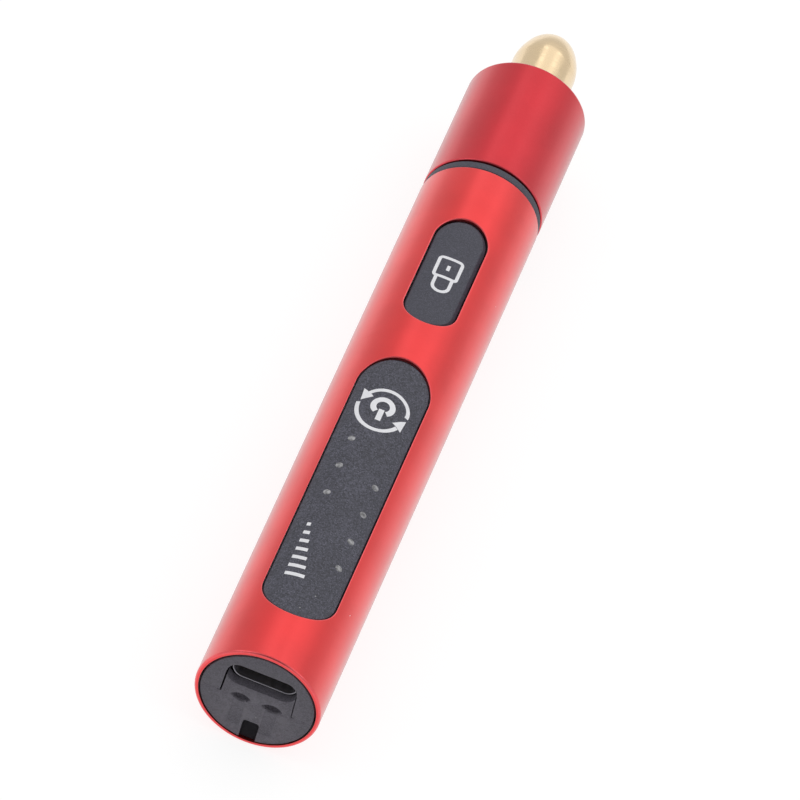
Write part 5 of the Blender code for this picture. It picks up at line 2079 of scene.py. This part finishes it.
@dataclass
class Nose(SubAssembly):
    """The brass collet nut and the slotted steel collet inside it."""

    nut_edge: float = 0.25 * MM
    dome_length: float = 5.5 * MM
    dome_power: float = 1.65
    dome_steps: int = 40
    flat_radius: float = 1.80 * MM
    hole_radius: float = 1.50 * MM
    bore_radius: float = 3.65 * MM
    cone_rear: float = 126.9 * MM
    cone_front: float = 130.9 * MM
    cone_radii: tuple[float, float] = (3.05 * MM, 2.0 * MM)
    collet_edge: float = 0.1 * MM
    collet_bore: float = 1.175 * MM
    collet_tail: float = 2.0 * MM
    collet_shoulder: float = 2.8 * MM
    collet_nose: float = 1.75 * MM
    shoulder_station: float = 126.9 * MM
    slit: float = 0.40 * MM
    slit_length: float = 10.0 * MM

    def build(self) -> None:
        """Builds the nut and the collet."""
        self.build_nut()
        self.build_collet()

    def build_nut(self) -> None:
        """The nut: a plain cylinder that rounds off into a dome with a flat tip."""
        low, high = self.pen.box("collet_nut")
        radius, flat, power = (high.x - low.x) / 2, self.flat_radius, self.dome_power
        dome_start = high.y - self.dome_length
        outline = rounded([
            (self.bore_radius, low.y, 0), (radius, low.y, self.nut_edge), (radius, dome_start, 0),
        ])
        for k in range(1, self.dome_steps + 1):
            share = math.sin(math.pi / 2 * k / self.dome_steps)
            swell = max(1 - share ** power, 0) ** (1 / power)
            station = dome_start + self.dome_length * share
            outline.append((flat + (radius - flat) * swell, station))
        rim = (flat - self.hole_radius) / 3
        outline += [
            (self.hole_radius + rim, high.y),
            (self.hole_radius, high.y - rim),
            (self.hole_radius, self.cone_front),
            (self.cone_radii[1], self.cone_front),
            (self.cone_radii[0], self.cone_rear),
            (self.bore_radius, self.cone_rear),
        ]
        nut = Shape("nut").turned(outline)
        self.add(nut, "brass", body="collet_nut", nodes=("collet_nut",))

    def build_collet(self) -> None:
        """The collet: a tail, a shoulder and a taper, split by two crossing slits."""
        low, high = self.pen.box("collet")
        edge = self.collet_edge
        outline = rounded([
            (self.collet_bore, low.y, edge),
            (self.collet_tail, low.y, edge),
            (self.collet_tail, self.shoulder_station - self.slit, 0),
            (self.collet_shoulder, self.shoulder_station, edge),
            (self.collet_nose, high.y, edge),
            (self.collet_bore, high.y, edge),
        ])
        body = Shape("collet_body").turned(outline, SMALL_STEPS).to_object(self.pen)
        reach, half = 2 * self.collet_shoulder, self.slit / 2
        rear, front = high.y - self.slit_length, high.y + self.collet_bore
        tools = []
        for name, across, up in (("flat_slit", reach, half), ("upright_slit", half, reach)):
            slit = Shape(name).box((-across, rear, -up), (across, front, up))
            tools.append(slit.to_object(self.pen))
        body = combined(body, tools, Joining.DIFFERENCE)
        self.add(body, "steel", body="collet", nodes=("collet",))


# Stage

@dataclass(frozen=True)
class Softbox:
    """A flat lamp that faces the pen; a face with a radiance of 1 is white."""

    name: str
    place: tuple[float, float, float]
    size: Point2
    radiance: float

    def hang(self) -> None:
        """Hangs the lamp in its place."""
        data = bpy.data.lights.new(self.name, "AREA")
        data.shape = "RECTANGLE"
        data.size, data.size_y = self.size
        data.energy = self.radiance * math.pi * self.size[0] * self.size[1]
        thing = placed(self.name, data)
        thing.location = self.place
        thing.rotation_euler = (-Vector(self.place)).to_track_quat("-Z", "Y").to_euler()


@dataclass
class Studio:
    """The floor, the soft lamps, the even surroundings and the camera."""

    pen: PenFrame
    book: FinishBook
    floor_size: float = 3.0
    floor_white: float = 0.24
    floor_rough: float = 0.8
    floor_lift: float = 0.84
    surround: float = 0.75
    shade: float = 0.20
    shade_inner: float = 16.0
    shade_outer: float = 36.0
    lamps: tuple[Softbox, ...] = (
        Softbox("main_softbox", (0.09, 0.42, 0.48), (0.70, 0.5), 0.34),
        Softbox("left_strip", (-0.11, 0.40, 0.45), (0.09, 0.4), 0.32),
        Softbox("right_strip", (0.15, 0.38, 0.42), (0.09, 0.4), 0.32),
        Softbox("left_softbox", (-0.5, -0.05, 0.5), (0.3, 0.3), 0.8),
        Softbox("right_softbox", (0.5, -0.05, 0.5), (0.3, 0.3), 0.8),
    )
    stand_back: float = 0.77264
    camera_height: float = 0.87425
    azimuth: float = math.radians(-0.052)
    elevation: float = math.radians(46.444)
    roll: float = math.radians(24.517)
    pen_turn: float = math.radians(4.3)
    focal_pixels: float = 9133.2
    frame_pixels: float = 800.0
    sensor: float = 36.0
    clip: Point2 = (0.05, 20.0)

    def floor(self) -> None:
        """A wide paper floor that the round tube just touches."""
        half, low = self.floor_size / 2, self.pen.axis_height - self.pen.radius
        corners = [(-half, -half, low), (half, -half, low), (half, half, low), (-half, half, low)]
        data = bpy.data.meshes.new("floor")
        data.from_pydata(corners, [], [(0, 1, 2, 3)])
        paper = Ground("paper", (self.floor_white,) * 3, self.floor_rough, self.floor_lift)
        data.materials.append(paper.build(self.book.effects))
        thing = placed("floor", data)

    def world(self) -> None:
        """Even pale surroundings with a darker patch where the camera stands."""
        world = bpy.data.worlds.new("studio")
        world.use_nodes = True
        sheet = NodeSheet(world.node_tree)
        ray = sheet.add("ShaderNodeTexCoord").outputs["Generated"]
        stand = Vector((0, -self.stand_back, self.camera_height)).normalized()
        near = sheet.add("ShaderNodeVectorMath", {0: ray, 1: stand}, operation="DOT_PRODUCT")
        ends = [math.cos(math.radians(angle)) for angle in (self.shade_outer, self.shade_inner)]
        patch = sheet.ramp(near.outputs["Value"], *ends)
        strength = sheet.summed(self.surround, (patch, self.shade - self.surround))
        back = world.node_tree.nodes["Background"]
        sheet.feed(back, {"Color": (1.0, 1.0, 1.0, 1), "Strength": strength})
        bpy.context.scene.world = world

    def camera(self) -> None:
        """The camera, behind and above the pen's rear end, rolled as the photograph shows."""
        az, el = self.azimuth, self.elevation
        back = Vector((math.sin(az) * math.cos(el), -math.cos(az) * math.cos(el), math.sin(el)))
        right = Vector((0, 0, 1)).cross(back).normalized()
        up = back.cross(right)
        c, s = math.cos(self.roll), math.sin(self.roll)
        axes = Matrix((c * right + s * up, c * up - s * right, back)).transposed().to_4x4()
        axes.translation = (0, -self.stand_back, self.camera_height)
        data = bpy.data.cameras.new("camera")
        data.sensor_width = self.sensor
        data.lens = self.focal_pixels / self.frame_pixels * self.sensor
        data.clip_start, data.clip_end = self.clip
        thing = placed("camera", data)
        thing.matrix_world = self.pen.matrix @ Matrix.Rotation(self.pen_turn, 4, "Y") @ axes
        bpy.context.scene.camera = thing

    def build(self) -> None:
        """Builds the whole stage."""
        self.floor()
        self.world()
        for lamp in self.lamps:
            lamp.hang()
        self.camera()
        bpy.context.scene.view_settings.view_transform = "Standard"


def main() -> None:
    """Builds the sub-assemblies in order and reports their pieces, then builds the stage."""
    logging.basicConfig(level=logging.INFO, format="%(name)s %(message)s")
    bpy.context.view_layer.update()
    pen = PenFrame.read()
    book = FinishBook()
    slots = {part["node"]: part["material_slot"] for part in frame["record"]["subparts"]}
    for node, thing in frame["nodes"].items():
        book.dress(thing, slots[node])
    for kind in (Barrel, FrontEnd, ControlPanel, LockKey, EndFace, ChargingSocket, Nose):
        assembly = kind(pen, book)
        assembly.build()
        for piece in assembly.pieces:
            faces = len(piece.data.polygons)
            LOG.info("%s: %s has %d faces", kind.__name__, piece.name, faces)
    Studio(pen, book).build()


if __name__ == "__main__":
    main()
